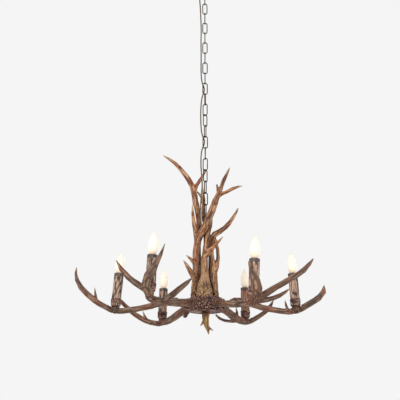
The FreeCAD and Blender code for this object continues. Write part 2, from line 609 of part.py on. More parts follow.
# Arm antlers. "inner" stations run from the hub to the candle seat: share of the way in, sideways, height, half
# thickness. "outer" and each tine are counted from the seat: outwards, sideways, height, half thickness.
ARM_ANTLERS = {
    "left": {
        "inner": [(0.86, 2, 36, 13), (0.63, 5, 28, 11.5), (0.41, 3, 14, 10), (0.2, -2, 7, 9.5),
                  (0, 0, 4, 10)],
        "outer": [(18, 2, 9, 9.5), (52, 5, 26, 9.5), (88, 5, 53, 9.5), (116, 2, 80, 9.3),
                  (132, -1, 106, 7.6), (138, -4, 130, 5), (137, -6, 152, 1.6)],
        "tines": [
            [(63, 3, 34, 6), (68, 1, 56, 4.6), (72, 0, 81, 1.5)],
        ],
    },
    "right": {
        "inner": [(0.86, -3, 36, 13), (0.6, -5, 22, 11), (0.39, -2, 10, 10), (0.18, 2, 3, 10),
                  (0, 0, 4, 10.5)],
        "outer": [(19, -2, 12, 10.5), (41, -3, 24, 10.5), (78, -3, 47, 10.5), (94, -1, 66, 9.5),
                  (99, 0, 84, 6.5), (94, 2, 107, 1.8)],
        "tines": [
            [(-27, -5, 4, 6), (-33, -8, 22, 4.4), (-36, -8, 38, 1.5)],
        ],
    },
    "near_left": {
        "inner": [(0.81, 0, 17, 12.5), (0.62, 3, 10, 12.5), (0.46, 2, 5, 11), (0.22, 0, 3, 11.5),
                  (0, 0, 7, 12)],
        "outer": [(19, 14, 15, 14, 0.85), (33, 9, 34, 17, 0.6), (37, 23, 62, 15, 0.6),
                  (30, 37, 88, 11.5, 0.65), (19, 49, 120, 6.5, 0.8), (8, 59, 160, 1.6)],
        "tines": [
            [(4, 6, 7, 11), (3, -13, 32, 10.5), (9, -41, 50, 9.5), (13, -75, 75, 9), (18, -98, 100, 7),
             (22, -117, 130, 1.6)],
            [(-58, 3, 4, 9.5), (-82, 18, 22, 10), (-104, 27, 42, 9.5), (-131, 39, 66, 7.5),
             (-152, 48, 86, 1.6)],
            [(8, 8, 4, 7), (26, 25, -5, 1.6)],
        ],
    },
    "near_right": {
        "inner": [(0.81, 0, 14, 12), (0.64, -3, 6, 11), (0.4, -3, -3, 10.5), (0.18, 0, -6, 11),
                  (0, 0, -7, 12)],
        "outer": [(14, 4, 4, 14, 0.85), (25, -5, 24, 20, 0.5), (27, -10, 50, 16, 0.5),
                  (23, -19, 76, 9, 0.7), (15, -24, 106, 1.8)],
        "tines": [
            [(4, 5, -3, 12), (14, 36, 18, 10), (20, 68, 38, 9), (29, 109, 62, 8.8), (37, 155, 92, 8.4),
             (39, 178, 114, 6), (39, 193, 132, 2)],
            [(0, 3, -8, 8), (8, 40, -1, 7.5), (16, 78, 13, 6.8), (20, 97, 24, 5), (22, 113, 36, 1.5)],
        ],
    },
    "far_left": {
        "inner": [(0.8, -2, 28, 13), (0.62, -3, 22, 14), (0.32, -2, 5, 13), (0.12, 0, -3, 11.5),
                  (0, 0, -2, 11)],
        "outer": [(25, 0, -3, 10.5), (57, 15, 3, 10), (81, 47, 20, 9.5), (95, 90, 52, 9),
                  (92, 129, 82, 6.5), (84, 155, 106, 1.6)],
        "tines": [
            [(66, 27, 10, 6), (70, 35, 26, 4.6), (70, 45, 46, 1.5)],
            [(-199, 3, 22, 9.5), (-204, 19, 6, 8.5), (-208, 27, -9, 6)],
        ],
    },
    "far_right": {
        "inner": [(0.76, 0, 25, 13), (0.41, 3, 11, 14.5), (0.18, 2, 2, 13.5), (0, 0, 2, 11.5)],
        "outer": [(24, -4, 5, 10), (53, -34, 28, 9), (59, -60, 46, 8.2), (53, -80, 64, 6),
                  (46, -94, 80, 1.8)],
        "tines": [
            [(-59, 2, -1, 6.5), (-101, 20, -6, 5.6), (-153, 22, -4, 5), (-199, 14, 3, 3)],
            [(-69, 0, 5, 6.5), (-91, -12, 20, 5.2), (-113, -19, 38, 1.6)],
        ],
    },
}
# How far each candle leans from upright, in degrees, in the XZ plane: positive leans to +X.
LEANS = {"left": 4, "right": -3, "near_left": 3, "near_right": 3, "far_left": 2, "far_right": 0}


def seat_place(word):
    """Where a candle stands: the middle of its seat, with the candle's own lean."""
    azimuth, raised = ARMS[word]
    middle = outward(azimuth) * RING
    middle.z = HUB_LEVEL + number("sheet.seat_height") + raised
    return Placement(middle, Rotation(Vector(0, 1, 0), LEANS[word]))


def arm_antler(word):
    azimuth = ARMS[word][0]
    out, aside = outward(azimuth), outward(azimuth + 90)
    root = number("sheet.arm_seat_radius")
    root_half = number("sheet.arm_root_dia / 2")
    span = RING - root

    def placed(distance, sideways, height, *rest):
        spot = out * distance + aside * sideways
        return (spot.x, spot.y, height + HUB_LEVEL) + rest

    shape = ARM_ANTLERS[word]
    beam = [placed(root, 0, number("sheet.arm_height"), root_half)]
    beam += [placed(RING - span * share, *rest) for share, *rest in shape["inner"]]
    beam += [placed(RING + distance, *rest) for distance, *rest in shape["outer"]]
    limbs = [horn(beam, out * 1, UP)]
    for tine in shape["tines"]:
        limbs.append(horn([placed(RING + distance, *rest) for distance, *rest in tine], None, UP))
    seat = seat_place(word)
    pad_height = number("sheet.seat_height") + ARMS[word][1] - shape["inner"][-1][2]
    pad = Part.makeCylinder(number("sheet.seat_pad_dia / 2"), pad_height, Vector(0, 0, -pad_height), UP)
    pad.Placement = seat.multiply(pad.Placement)
    limbs.append(pad)
    depth = number("sheet.nipple_depth")
    hole = Part.makeCylinder(number("sheet.nipple_dia / 2"), depth + 5, Vector(0, 0, -depth), UP)
    hole.Placement = seat.multiply(hole.Placement)
    head_room = Part.makeCylinder(number("sheet.cup_dia / 2 + 1"), number("sheet.cup_height + 60"))
    head_room.Placement = seat.multiply(head_room.Placement)
    bolt = Part.makeCylinder(number("sheet.arm_bolt_dia / 2"), number("sheet.arm_bolt_depth") + 1,
                             out * (root - 1) + UP * number(HUB_ROOT), out)
    one_solid("arm_antler_" + word, limbs, [hole, head_room, bolt])


# Trunk antlers round the stem: x, y, height above the hub level, half thickness and, if flat, width ratio.
TRUNK_ANTLERS = {
    "front": {
        "beam": [(-4, -28, 70, 16, 1.6), (-4, -29, 92, 13.5, 1.45), (-3, -29, 116, 12, 1.15),
                 (-4, -28, 150, 12), (-4, -28, 178, 11), (-1, -28, 205, 9.5), (3, -25, 232, 9),
                 (7, -21, 254, 8.5), (11, -17, 271, 8), (16, -13, 288, 7), (20, -11, 306, 5), (22, -10, 322, 1.8)],
        "foot": (17, 1.65),
        "tines": [[(-6, -29, 162, 11), (-4, -31, 180, 11), (6, -33, 191, 10.5), (21, -36, 205, 8.3),
                   (36, -38, 221, 5.8), (48, -40, 234, 4.2), (58, -41, 245, 1.8)]],
    },
    "left": {
        "beam": [(-35, -5, 93, 12), (-32, -9, 145, 11.5), (-32, -9, 200, 11.5), (-27, -12, 236, 12),
                 (-15, -23, 261, 12.5), (-1, -31, 284, 13), (10, -34, 309, 13), (21, -33, 335, 12.5),
                 (29, -30, 358, 12), (36, -26, 380, 11), (45, -23, 400, 9.5), (53, -21, 422, 8),
                 (61, -20, 446, 7), (72, -20, 470, 6), (80, -20, 488, 4.3), (85, -20, 500, 1.8)],
        "foot": (12.5, 1),
        "tines": [
            [(-30, -10, 238, 9), (-34, -9, 268, 8.5), (-39, -9, 298, 7.3), (-43, -9, 332, 5.2),
             (-45, -9, 368, 1.8)],
            [(46, -22, 396, 8), (55, -24, 401, 7), (73, -27, 408, 6.3), (94, -29, 419, 6), (113, -30, 426, 4),
             (128, -30, 428, 1.6)],
            [(46, -22, 398, 7), (43, -19, 417, 5), (40, -14, 440, 3.6)],
            [(-27, -10, 148, 9), (-42, -14, 168, 7), (-54, -17, 178, 4.6), (-65, -20, 187, 1.6)],
            [(-33, -10, 100, 10), (-44, -17, 122, 9.5), (-55, -23, 139, 8), (-65, -27, 154, 5),
             (-74, -30, 168, 1.6)],
        ],
    },
    "back_left": {
        "beam": [(-24, 25, 110, 10.5), (-24, 22, 200, 9.5), (-23, 19, 270, 9.2), (-22, 17, 315, 9.5),
                 (-27, 14, 351, 10), (-34, 12, 382, 10.8), (-39, 10, 412, 11), (-45, 10, 442, 10.5),
                 (-58, 10, 466, 9.3), (-78, 10, 493, 8.4), (-106, 10, 526, 7), (-130, 10, 545, 4.6),
                 (-150, 10, 557, 1.8)],
        "foot": (12, 1),
        "tines": [[(-37, 10, 424, 8), (-30, 12, 446, 7), (-16, 14, 470, 5.4), (-5, 15, 489, 4.2),
                   (8, 17, 511, 1.6)]],
    },
    "back_right": {
        "beam": [(18, 27, 110, 10), (19, 26, 175, 9.5), (17, 26, 233, 9), (6, 25, 285, 8.5), (-6, 24, 332, 8),
                 (-7, 23, 364, 7.4), (-5, 24, 396, 5.8), (-7, 24, 425, 3.6), (-9, 24, 444, 1.6)],
        "foot": (11, 1),
        "tines": [[(-6, 24, 372, 6), (-12, 23, 400, 5), (-20, 22, 415, 4.2), (-29, 22, 426, 2.4)]],
    },
    "right": {
        "beam": [(29, 2, 96, 13), (27, 1, 131, 12.5), (23, 1, 165, 10), (20, 1, 195, 9), (18, 1, 225, 8.8),
                 (20, 0, 248, 9.8), (31, -3, 263, 11), (48, -5, 272, 9.5), (66, -7, 285, 8.6), (82, -8, 302, 7.6),
                 (97, -9, 324, 6.3), (108, -10, 344, 4.2), (113, -10, 356, 1.8)],
        "foot": (12.5, 1),
        "tines": [[(29, 1, 126, 9), (38, 0, 153, 8), (42, 0, 182, 6.8), (41, -1, 210, 6.2), (35, -2, 236, 6.5),
                   (28, -2, 254, 7)]],
    },
}


def trunk_antler(word):
    x, y = TRUNK_FEET[word]
    base = HUB_LEVEL + number("sheet.hub_top")
    shape = TRUNK_ANTLERS[word]

    def placed(station):
        return (station[0], station[1], station[2] + HUB_LEVEL) + tuple(station[3:])

    beam = [(x, y, base) + shape["foot"]] + [placed(station) for station in shape["beam"]]
    limbs = [horn(beam, UP)] + [horn([placed(station) for station in tine]) for tine in shape["tines"]]
    depth = number("sheet.screw_depth")
    screw = Part.makeCylinder(number("sheet.screw_dia / 2"), depth + 1, Vector(x, y, base - 1), UP)
    one_solid("trunk_antler_" + word, limbs, [screw])


FINIAL = {
    "beam": [(0, 0, -20, 12), (3, 0, -44, 8.5), (8, 0, -60, 5), (10, 0, -73, 1.5)],
    "tines": [[(-2, 0, -24, 7), (-10, -2, -36, 4.5), (-18, -4, -46, 1.5)],
              [(4, 0, -44, 6), (14, 2, -53, 3.6), (25, 4, -60, 1.5)]],
}


def finial():
    """A small antler under the hub plate, screwed on the stem's tail."""
    def placed(station):
        return (station[0], station[1], station[2] + HUB_LEVEL, station[3])

    beam = [(0, 0, HUB_LEVEL, 13.5)] + [placed(station) for station in FINIAL["beam"]]
    limbs = [horn(beam, -UP)] + [horn([placed(station) for station in tine]) for tine in FINIAL["tines"]]
    tail = Part.makeCylinder(number("sheet.stem_dia / 2"), number("sheet.stem_tail") + 1,
                             Vector(0, 0, HUB_LEVEL - number("sheet.stem_tail")), UP)
    one_solid("finial_antler", limbs, [tail])


# ---------------------------------------------------------------- candles

# Heights in a candle's own frame, whose origin is the middle of its seat.
SLEEVE_TOP = "(sheet.cup_floor + sheet.sleeve_length)"
HOLDER_TOP = "(%s - sheet.holder_recess)" % SLEEVE_TOP
HOLDER_LOW = "(%s - sheet.holder_length)" % HOLDER_TOP
SOCKET_LOW = "(%s - sheet.socket_depth)" % HOLDER_TOP
CONTACT_LOW = "(%s + sheet.contact_gap)" % SOCKET_LOW
CAP_LOW = "(%s + sheet.contact_height + sheet.contact_gap)" % CONTACT_LOW
CAP_TOP = "(%s + sheet.cap_length)" % CAP_LOW
NIPPLE_TOP = "(%s + sheet.holder_grip)" % HOLDER_LOW


def candle_cup_shape():
    bore = "sheet.nipple_dia / 2 + sheet.bolt_hole_clearance"
    rim_inside = "sheet.cup_dia / 2 - sheet.cup_wall"
    return turned("cup_blank", [
        (bore, "0"),
        ("sheet.cup_foot_dia / 2", "0"),
        ("(sheet.cup_foot_dia + sheet.cup_dia) / 4 + 0.6", "sheet.cup_height * 0.16"),
        ("sheet.cup_dia / 2 - 0.5", "sheet.cup_height * 0.48"),
        ("sheet.cup_dia / 2", "sheet.cup_height * 0.8"),
        ("sheet.cup_dia / 2 - 0.6", "sheet.cup_height"),
        (rim_inside, "sheet.cup_height"),
        (rim_inside, "sheet.cup_height * 0.5"),
        ("sheet.sleeve_dia / 2 + sheet.sleeve_gap", "sheet.cup_floor"),
        (bore, "sheet.cup_floor"),
    ])


def nut_blank():
    base = ("0", "0", "sheet.cup_floor")
    blank = hexagon("candle_nut_blank", "sheet.nut_flats", "sheet.nut_height", base)
    bore = rod("candle_nut_bore", "sheet.nipple_dia", "sheet.nut_height + 2", ("0", "0", "sheet.cup_floor - 1"))
    return cut("candle_nut", blank, [bore])


def candle_pieces():
    """Every candle has the same pieces, so each is drawn once and set in its place six times."""
    sleeve = turned("sleeve_blank", tube("sheet.sleeve_dia", "sheet.sleeve_dia - 2 * sheet.sleeve_wall",
                                         "sheet.cup_floor", SLEEVE_TOP))
    nipple = turned("nipple_blank", tube("sheet.nipple_dia", "sheet.nipple_bore",
                                         "-sheet.nipple_depth", NIPPLE_TOP))
    holder = turned("holder_blank", [
        ("sheet.nipple_dia / 2", HOLDER_LOW),
        ("sheet.holder_dia / 2 - 3", HOLDER_LOW),
        ("sheet.holder_dia / 2", HOLDER_LOW + " + 8"),
        ("sheet.holder_dia / 2", HOLDER_TOP),
        ("sheet.socket_dia / 2", HOLDER_TOP),
        ("sheet.socket_dia / 2", SOCKET_LOW),
        ("0", SOCKET_LOW),
        ("0", NIPPLE_TOP),
        ("sheet.nipple_dia / 2", NIPPLE_TOP),
    ])
    leads = []
    for side in (-1, 1):
        across = "%d * (sheet.lead_dia + sheet.lead_gap) / 2" % side
        leads.append(rod("lead_%d" % (side + 1), "sheet.lead_dia", "sheet.lead_length",
                         (across, "0", "%s - sheet.lead_length" % NIPPLE_TOP)))
    pair = doc.addObject("Part::Compound", "lead_pair")
    pair.Links = leads
    cap = turned("cap_blank", [
        ("0", CAP_LOW),
        ("sheet.cap_tip_dia / 2", CAP_LOW),
        ("sheet.cap_dia / 2", CAP_LOW + " + sheet.cap_tip_height"),
        ("sheet.cap_dia / 2", CAP_TOP),
        ("sheet.cap_dia / 2 - sheet.cap_wall", CAP_TOP),
        ("sheet.cap_dia / 2 - sheet.cap_wall", CAP_LOW + " + sheet.cap_tip_height"),
        ("0", CAP_LOW + " + sheet.cap_tip_height"),
    ])
    contact = turned("contact_blank", [
        ("0", CONTACT_LOW),
        ("sheet.contact_dia / 2 - 0.6", CONTACT_LOW),
        ("sheet.contact_dia / 2", CONTACT_LOW + " + 0.6"),
        ("sheet.contact_dia / 2", CONTACT_LOW + " + sheet.contact_height"),
        ("0", CONTACT_LOW + " + sheet.contact_height"),
    ])
    doc.recompute()
    return {
        "sleeve": sleeve, "nipple": nipple, "holder": holder, "leads": pair, "cap": cap, "contact": contact,
        "cup": candle_cup_shape(), "nut": nut_blank(),
    }


# The bulb's flank, from the neck up: shares of its widest radius and of its length, each second one on an arc.
GLASS_FLANK = [(0.78, 0.2), (1, 0.42), (0.86, 0.62), (0.5, 0.82), (0.2, 0.94)]


def glass_shape():
    """A thin flame-shaped bulb: one blown shell, open at the foot that stands in its cap."""
    lift, wall, length = (number("sheet.glass_" + word) for word in ("lift", "wall", "length"))
    base = number(CAP_TOP) + lift
    low = base - number("sheet.glass_foot")
    foot = number("sheet.cap_dia / 2 - sheet.cap_wall") - lift
    neck, shoulder = number("sheet.glass_neck_dia / 2"), base + number("sheet.glass_neck_height")
    widest = number("sheet.glass_dia / 2")

    def spot(across, height):
        return Vector(across, 0, height)

    flank = [(widest * across, base + length * up) for across, up in GLASS_FLANK]
    outer = [spot(neck, shoulder)] + [spot(*corner) for corner in flank]
    outer.append(spot(number("sheet.glass_tip_dia / 2"), base + length))
    inner = [spot(foot - wall, shoulder)] + [spot(across - wall, height) for across, height in flank[:-1]]
    edges = []
    for side in (outer, inner):
        for start in range(0, len(side) - 2, 2):
            edges.append(Part.Arc(*side[start:start + 3]).toShape())
    tip_corners = [inner[-1], spot(0, base + length - 5 * wall), spot(0, base + length), outer[-1]]
    foot_corners = [inner[0], spot(foot - wall, low), spot(foot, low), spot(foot, base), spot(neck, base),
                    outer[0]]
    for corner_line in (tip_corners, foot_corners):
        edges += [Part.makeLine(start, end) for start, end in zip(corner_line, corner_line[1:])]
    outline = Part.Wire(Part.__sortEdges__(edges))
    return Part.Face(outline).revolve(Vector(), UP, 360)


def candles():
    pieces = candle_pieces()
    doc.recompute()
    glass = glass_shape()
    kinds = {"candle_cups": "cup", "lamp_holders": "holder", "candle_nipples": "nipple",
             "mounting_nuts": "nut", "lamp_leads": "leads"}
    groups = {label: [] for label in kinds}
    groups["mounting_nuts"] += doc.stem_nut_0.Shape.Solids
    for word in ARMS:
        seat = seat_place(word)
        feature("candle_sleeve_" + word, pieces["sleeve"].Shape, seat)
        feature("bulb_cap_" + word, pieces["cap"].Shape, seat)
        feature("bulb_contact_" + word, pieces["contact"].Shape, seat)
        feature("bulb_glass_" + word, glass, seat)
        for label, kind in kinds.items():
            moved = pieces[kind].Shape.copy()
            moved.Placement = seat
            groups[label] += moved.Solids
    for label, solids in groups.items():
        feature(label, Part.Compound(solids))


# ---------------------------------------------------------------- the whole

canopy()
crossbar()
canopy_fixings()
canopy_loop()
cable_fittings()
chain()
supply_cable()
stem_parts()
cable_entry()
hub()
hub_fixings()
wire_connectors()
doc.recompute()
for name in ARMS:
    arm_antler(name)
for name in TRUNK_FEET:
    trunk_antler(name)
finial()
candles()
doc.recompute()

NODES = ["canopy", "crossbar", "canopy_studs", "canopy_cap_nuts", "canopy_loop", "loop_nut", "cable_bush",
         "terminal_block", "top_link", "chain_links", "supply_cable", "stem_eye", "centre_stem", "cable_entry",
         "hub_casting", "hub_plug", "hub_plate", "antler_bolts", "wire_connectors", "mounting_nuts", "finial_antler",
         "candle_cups", "lamp_holders", "candle_nipples", "lamp_leads"]
NODES += ["trunk_antler_" + name for name in TRUNK_FEET]
for kind in ("arm_antler_", "candle_sleeve_", "bulb_glass_", "bulb_cap_", "bulb_contact_"):
    NODES += [kind + name for name in ARMS]


def check_everything():
    for thing in doc.Objects:
        if "Invalid" in thing.State or "Error" in thing.State:
            raise RuntimeError("%s failed: %s" % (thing.Name, thing.State))


check_everything()
os.makedirs("parts", exist_ok=True)
for node in NODES:
    found = doc.getObjectsByLabel(node)
    shape = found[0].Shape
    if shape.isNull() or not shape.isValid() or not shape.Solids:
        raise RuntimeError("%s has no valid shape" % node)
    shape.exportStep("parts/%s.step" % node)
print("%d nodes, hub level %.2f" % (len(NODES), HUB_LEVEL))
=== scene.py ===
# %% [markdown]
# # An antler chandelier, dressed piece by piece
# The fixture hangs from a ceiling canopy on a chain. Upright antlers stand round a stem, six curved
# antlers carry candle lamps, and a lumpy hub holds them all. The rigid model is loaded first, as a frame
# that fixes every size and place. Each cell then makes one kind of piece in that frame, in metres.

# %% Load the frame
import json
import math
import bmesh
import bpy
import numpy as np
from mathutils import Matrix, Vector, noise
from mathutils.bvhtree import BVHTree

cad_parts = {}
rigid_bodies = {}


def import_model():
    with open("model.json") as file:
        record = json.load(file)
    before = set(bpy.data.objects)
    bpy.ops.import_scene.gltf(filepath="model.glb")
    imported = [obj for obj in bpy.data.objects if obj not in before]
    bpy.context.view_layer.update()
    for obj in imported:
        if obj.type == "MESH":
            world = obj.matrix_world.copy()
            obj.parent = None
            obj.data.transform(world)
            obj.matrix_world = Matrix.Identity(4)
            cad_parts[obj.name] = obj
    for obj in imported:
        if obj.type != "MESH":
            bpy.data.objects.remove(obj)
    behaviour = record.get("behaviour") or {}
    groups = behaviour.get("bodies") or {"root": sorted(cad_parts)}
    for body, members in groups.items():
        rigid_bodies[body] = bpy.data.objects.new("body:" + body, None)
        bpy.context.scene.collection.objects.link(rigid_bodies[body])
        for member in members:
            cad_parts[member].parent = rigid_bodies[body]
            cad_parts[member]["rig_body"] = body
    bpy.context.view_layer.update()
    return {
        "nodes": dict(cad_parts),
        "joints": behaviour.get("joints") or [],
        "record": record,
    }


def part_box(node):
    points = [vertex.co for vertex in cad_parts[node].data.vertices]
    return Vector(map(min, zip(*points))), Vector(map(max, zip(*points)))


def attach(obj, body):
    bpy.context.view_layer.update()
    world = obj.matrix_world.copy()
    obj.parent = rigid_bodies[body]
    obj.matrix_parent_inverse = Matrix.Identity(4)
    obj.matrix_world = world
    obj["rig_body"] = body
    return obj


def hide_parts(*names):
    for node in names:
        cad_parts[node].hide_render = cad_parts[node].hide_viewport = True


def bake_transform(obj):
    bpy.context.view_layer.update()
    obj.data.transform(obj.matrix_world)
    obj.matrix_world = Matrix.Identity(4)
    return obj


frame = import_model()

HUB_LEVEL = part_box("hub_plate")[0].z
print("frame:", len(frame["nodes"]), "nodes, hub level", round(HUB_LEVEL, 4))

# %% [markdown]
# ## The camera
# The photograph looks up at the fixture from a little below the hub. Its long lens and upward tilt are set
# here first, because the cable below is judged by what this camera sees. A wide lens close by would frame the
# same width, but it would draw the near antlers too large.

# %% Camera
IMAGE_SIDE = 400
FOCAL_PIXELS = 650
SENSOR = 36
CAMERA_ASIDE, CAMERA_BACK, CAMERA_BELOW_HUB = -0.0186, -2.146, 0.31
CAMERA_TILT = 18


def placed(name, data):
    """A new object in the scene."""
    made = bpy.data.objects.new(name, data)
    bpy.context.scene.collection.objects.link(made)
    return made


camera = placed("camera", bpy.data.cameras.new("camera"))
camera.data.sensor_width = SENSOR
camera.data.lens = FOCAL_PIXELS / IMAGE_SIDE * SENSOR
camera.location = (CAMERA_ASIDE, CAMERA_BACK, HUB_LEVEL - CAMERA_BELOW_HUB)
camera.rotation_euler = (math.radians(90 + CAMERA_TILT), 0, 0)
bpy.context.scene.camera = camera
print("lens:", round(camera.data.lens, 1), "mm")

# %% [markdown]
# ## Helpers for node trees
# A material here is a short formula. `Wire` wraps one socket, so that ordinary signs such as `+` and `*` add
# Math nodes, and `Graph.node` is the only place where a node is made. The same class builds Geometry Nodes.


# %% Wires
class Wire:
    """A socket that can stand in a formula."""

    def __init__(self, graph, socket):
        self.graph = graph
        self.socket = socket

    def maths(self, operation, first, second=0.0):
        return self.graph.node("ShaderNodeMath", {"operation": operation}, {0: first, 1: second})

    def __add__(self, other):
        return self.maths("ADD", self, other)

    def __radd__(self, other):
        return self.maths("ADD", other, self)

    def __sub__(self, other):
        return self.maths("SUBTRACT", self, other)

    def __rsub__(self, other):
        return self.maths("SUBTRACT", other, self)

    def __mul__(self, other):
        return self.maths("MULTIPLY", self, other)

    def __rmul__(self, other):
        return self.maths("MULTIPLY", other, self)

    def beside(self, name):
        """Another output of the same node."""
        return Wire(self.graph, self.socket.node.outputs[name])

    def ramp(self, low, high, start=0.0, end=1.0):
        """Goes smoothly from start to end while this value goes from low to high."""
        sockets = {"Value": self, "From Min": low, "From Max": high, "To Min": start, "To Max": end}
        return self.graph.node("ShaderNodeMapRange", {"interpolation_type": "SMOOTHSTEP"}, sockets)


print("wires ready")


# %% Graphs
class Graph:
    """A node tree in the making."""

    def __init__(self, tree):
        self.tree = tree

    def node(self, kind, settings=None, sockets=None, output=0):
        """A new node as a wire from one of its outputs. Its settings come before its sockets."""
        made = self.tree.nodes.new(kind)
        for name, value in (settings or {}).items():
            setattr(made, name, value)
        for name, value in (sockets or {}).items():
            if isinstance(value, Wire):
                self.tree.links.new(value.socket, made.inputs[name])
            else:
                made.inputs[name].default_value = value
        return Wire(self, made.outputs[output]) if made.outputs else None

    def mix(self, share, first, second):
        """A colour between two colours."""
        return self.node("ShaderNodeMix", {"data_type": "RGBA"}, {0: share, 6: first, 7: second}, 2)

    def scaled(self, vector, by):
        """A vector stretched along each axis."""
        return self.node("ShaderNodeVectorMath", {"operation": "MULTIPLY"}, {0: vector, 1: by})

    def clouds(self, vector, scale, detail, roughness):
        """Noise between about 0.2 and 0.8. The scale is in clouds for each metre."""
        sockets = {"Vector": vector, "Scale": scale, "Detail": detail, "Roughness": roughness}
        return self.node("ShaderNodeTexNoise", {}, sockets)

    def place(self):
        return self.node("ShaderNodeTexCoord", output="Object")

    def value_on(self, name):
        return self.node("ShaderNodeAttribute", {"attribute_name": name}, output="Fac")

    def vector_on(self, name):
        return self.node("ShaderNodeAttribute", {"attribute_name": name}, output="Vector")

    def bump(self, height, depth, strength):
        return self.node("ShaderNodeBump", {}, {"Height": height, "Distance": depth, "Strength": strength})


print("graphs ready")


# %% Colours and finishes
def srgb(red, green, blue):
    """A colour as painters' software shows it, 0 to 255, made linear."""
    parts = [part / 255 for part in (red, green, blue)]
    linear = [part / 12.92 if part <= 0.04045 else ((part + 0.055) / 1.055) ** 2.4 for part in parts]
    return (*linear, 1)


def finish(name, describe):
    """A material: describe(graph) gives the sockets of its Principled shader."""
    made = bpy.data.materials.new(name)
    made.use_nodes = True
    made.node_tree.nodes.clear()
    graph = Graph(made.node_tree)
    shader = graph.node("ShaderNodeBsdfPrincipled", {}, describe(graph))
    graph.node("ShaderNodeOutputMaterial", {}, {"Surface": shader})
    return made


print("helpers ready")

# %% [markdown]
# ## Painted resin
# The antlers, the hub and the cups are cast in resin and painted: a mid brown clouded with red, a dark wash
# that stays in the furrows, and paler dry brushing on the ridges. A limb's foot has a colour of its own, and
# the tips go to bone. A pattern in plain space would run across the limbs, so each mesh carries what the
# paint follows: `grain`, a place that is stretched along the limb, `girth`, the limb's radius, `foot`, how
# much of the foot's colour there is, and `relief`, how high the furrows and pearls stand. So one formula
# paints all of them.

# %% Painted resin
MID_RELIEF = 0.6


def painted_resin(name, dark, middle, red, light, tip, tip_to, base=None, contrast=1.0):
    """The colours are those of the wash and the painted shade, the ground, its red clouds, the ridges,
    the tips and the foot.

    A limb turns to its tip colour below the radius tip_to. contrast is how hard the relief shows.
    """
    def describe(graph):
        grain, relief, girth = graph.vector_on("grain"), graph.value_on("relief"), graph.value_on("girth")
        streaks = graph.clouds(grain, 420.0, 4.0, 0.6)
        blotches = graph.clouds(graph.place(), 28.0, 3.0, 0.6)
        fibres = graph.clouds(grain, 1500.0, 3.0, 0.6)
        height = (relief - MID_RELIEF) * contrast + MID_RELIEF + (streaks - 0.5) * 0.9
        foot = graph.value_on("foot")
        reds = graph.clouds(graph.scaled(graph.place(), (1.0, 1.0, 0.6)), 17.0, 2.0, 0.5)
        ground = graph.mix(reds.ramp(0.4, 0.62), middle, red)
        if base:
            ground = graph.mix(foot * 0.85, ground, base)
        worn = height.ramp(0.5, 1.05)
        colour = graph.mix(worn, ground, light)
        # Dark streaks along the grain: partly the paint's wash, partly painted shade where limbs meet.
        wash_and_shade_streaks = graph.clouds(grain, 150.0, 2.0, 0.5)
        colour = graph.mix(blotches.ramp(0.45, 0.7) * 0.4, colour, dark)
        colour = graph.mix(wash_and_shade_streaks.ramp(0.5, 0.66) * 0.6, colour, dark)
        bone = girth.ramp(tip_to, tip_to * 0.35)
        colour = graph.mix(bone * streaks.ramp(0.25, 0.6, 0.45, 1.0), colour, tip)
        wash = height.ramp(0.42, 0.08)
        colour = graph.mix(wash * (1.0 - bone * 0.55) * (1.0 - foot * 0.3) * 0.94, colour, dark)
        roughness = 0.46 + wash * 0.3 + (blotches - 0.5) * 0.2
        bumps = streaks * 0.7 + fibres * 0.3
        return {"Base Color": colour, "Roughness": roughness, "Normal": graph.bump(bumps, 0.0011, 0.75),
                "Specular IOR Level": 0.42}
    return finish(name, describe)


TRUNK_PAINT = painted_resin("trunk_paint", srgb(48, 20, 5), srgb(122, 74, 40), srgb(136, 68, 24),
                            srgb(198, 154, 114), srgb(184, 168, 134), 0.005, srgb(180, 142, 100))
ARM_PAINT = painted_resin("arm_paint", srgb(34, 17, 9), srgb(84, 60, 44), srgb(108, 58, 34),
                          srgb(160, 128, 100), srgb(166, 152, 122), 0.004, srgb(104, 60, 40), 0.75)
HUB_PAINT = painted_resin("hub_paint", srgb(32, 13, 9), srgb(112, 70, 54), srgb(104, 52, 44),
                          srgb(200, 164, 142), srgb(150, 125, 110), 0.0001)
FINIAL_PAINT = painted_resin("finial_paint", srgb(50, 28, 10), srgb(142, 100, 50), srgb(150, 92, 36),
                             srgb(190, 156, 96), srgb(184, 176, 130), 0.0036, srgb(100, 60, 30))
print("paints:", TRUNK_PAINT.name, ARM_PAINT.name, HUB_PAINT.name, FINIAL_PAINT.name)

# %% [markdown]
# ## The other finishes
# Bark sleeves are a paler resin whose furrows are almost black. The chain and the canopy are antique bronze:
# dark in the hollows and rubbed where hands and links touch. Hidden hardware is zinc plated or moulded. Each
# formula could be a tree of its own, but what metals share, and what moulded parts share, is written once.


# %% Bark, metals and plastics
def bark(graph):
    """Pale ridges over brown, furrows that are almost black, and a darker, smoother rim."""
    relief, grain = graph.value_on("relief"), graph.vector_on("grain")
    fibres = graph.clouds(grain, 900.0, 4.0, 0.65)
    blotches = graph.clouds(graph.place(), 60.0, 3.0, 0.6)
    height = relief + (fibres - 0.5) * 0.5
    colour = graph.mix(height.ramp(0.45, 0.95), srgb(114, 82, 64), srgb(184, 154, 132))
    colour = graph.mix(blotches.ramp(0.45, 0.7) * 0.6, colour, srgb(92, 60, 44))
    # Painted light: a red-brown tint that stands for the warmer light falling on some sleeves.
    colour = graph.mix(graph.value_on("painted_warm_light"), colour, srgb(140, 78, 44))
    colour = graph.mix(height.ramp(0.72, 0.3), colour, srgb(42, 22, 12))
    rim = graph.value_on("rim")
    colour = graph.mix(rim * fibres.ramp(0.3, 0.6, 1.0, 0.8), colour, srgb(46, 28, 20))
    return {"Base Color": colour, "Roughness": 0.55 + (fibres - 0.5) * 0.3 - rim * 0.22,
            "Normal": graph.bump(fibres, 0.0009, 0.7)}


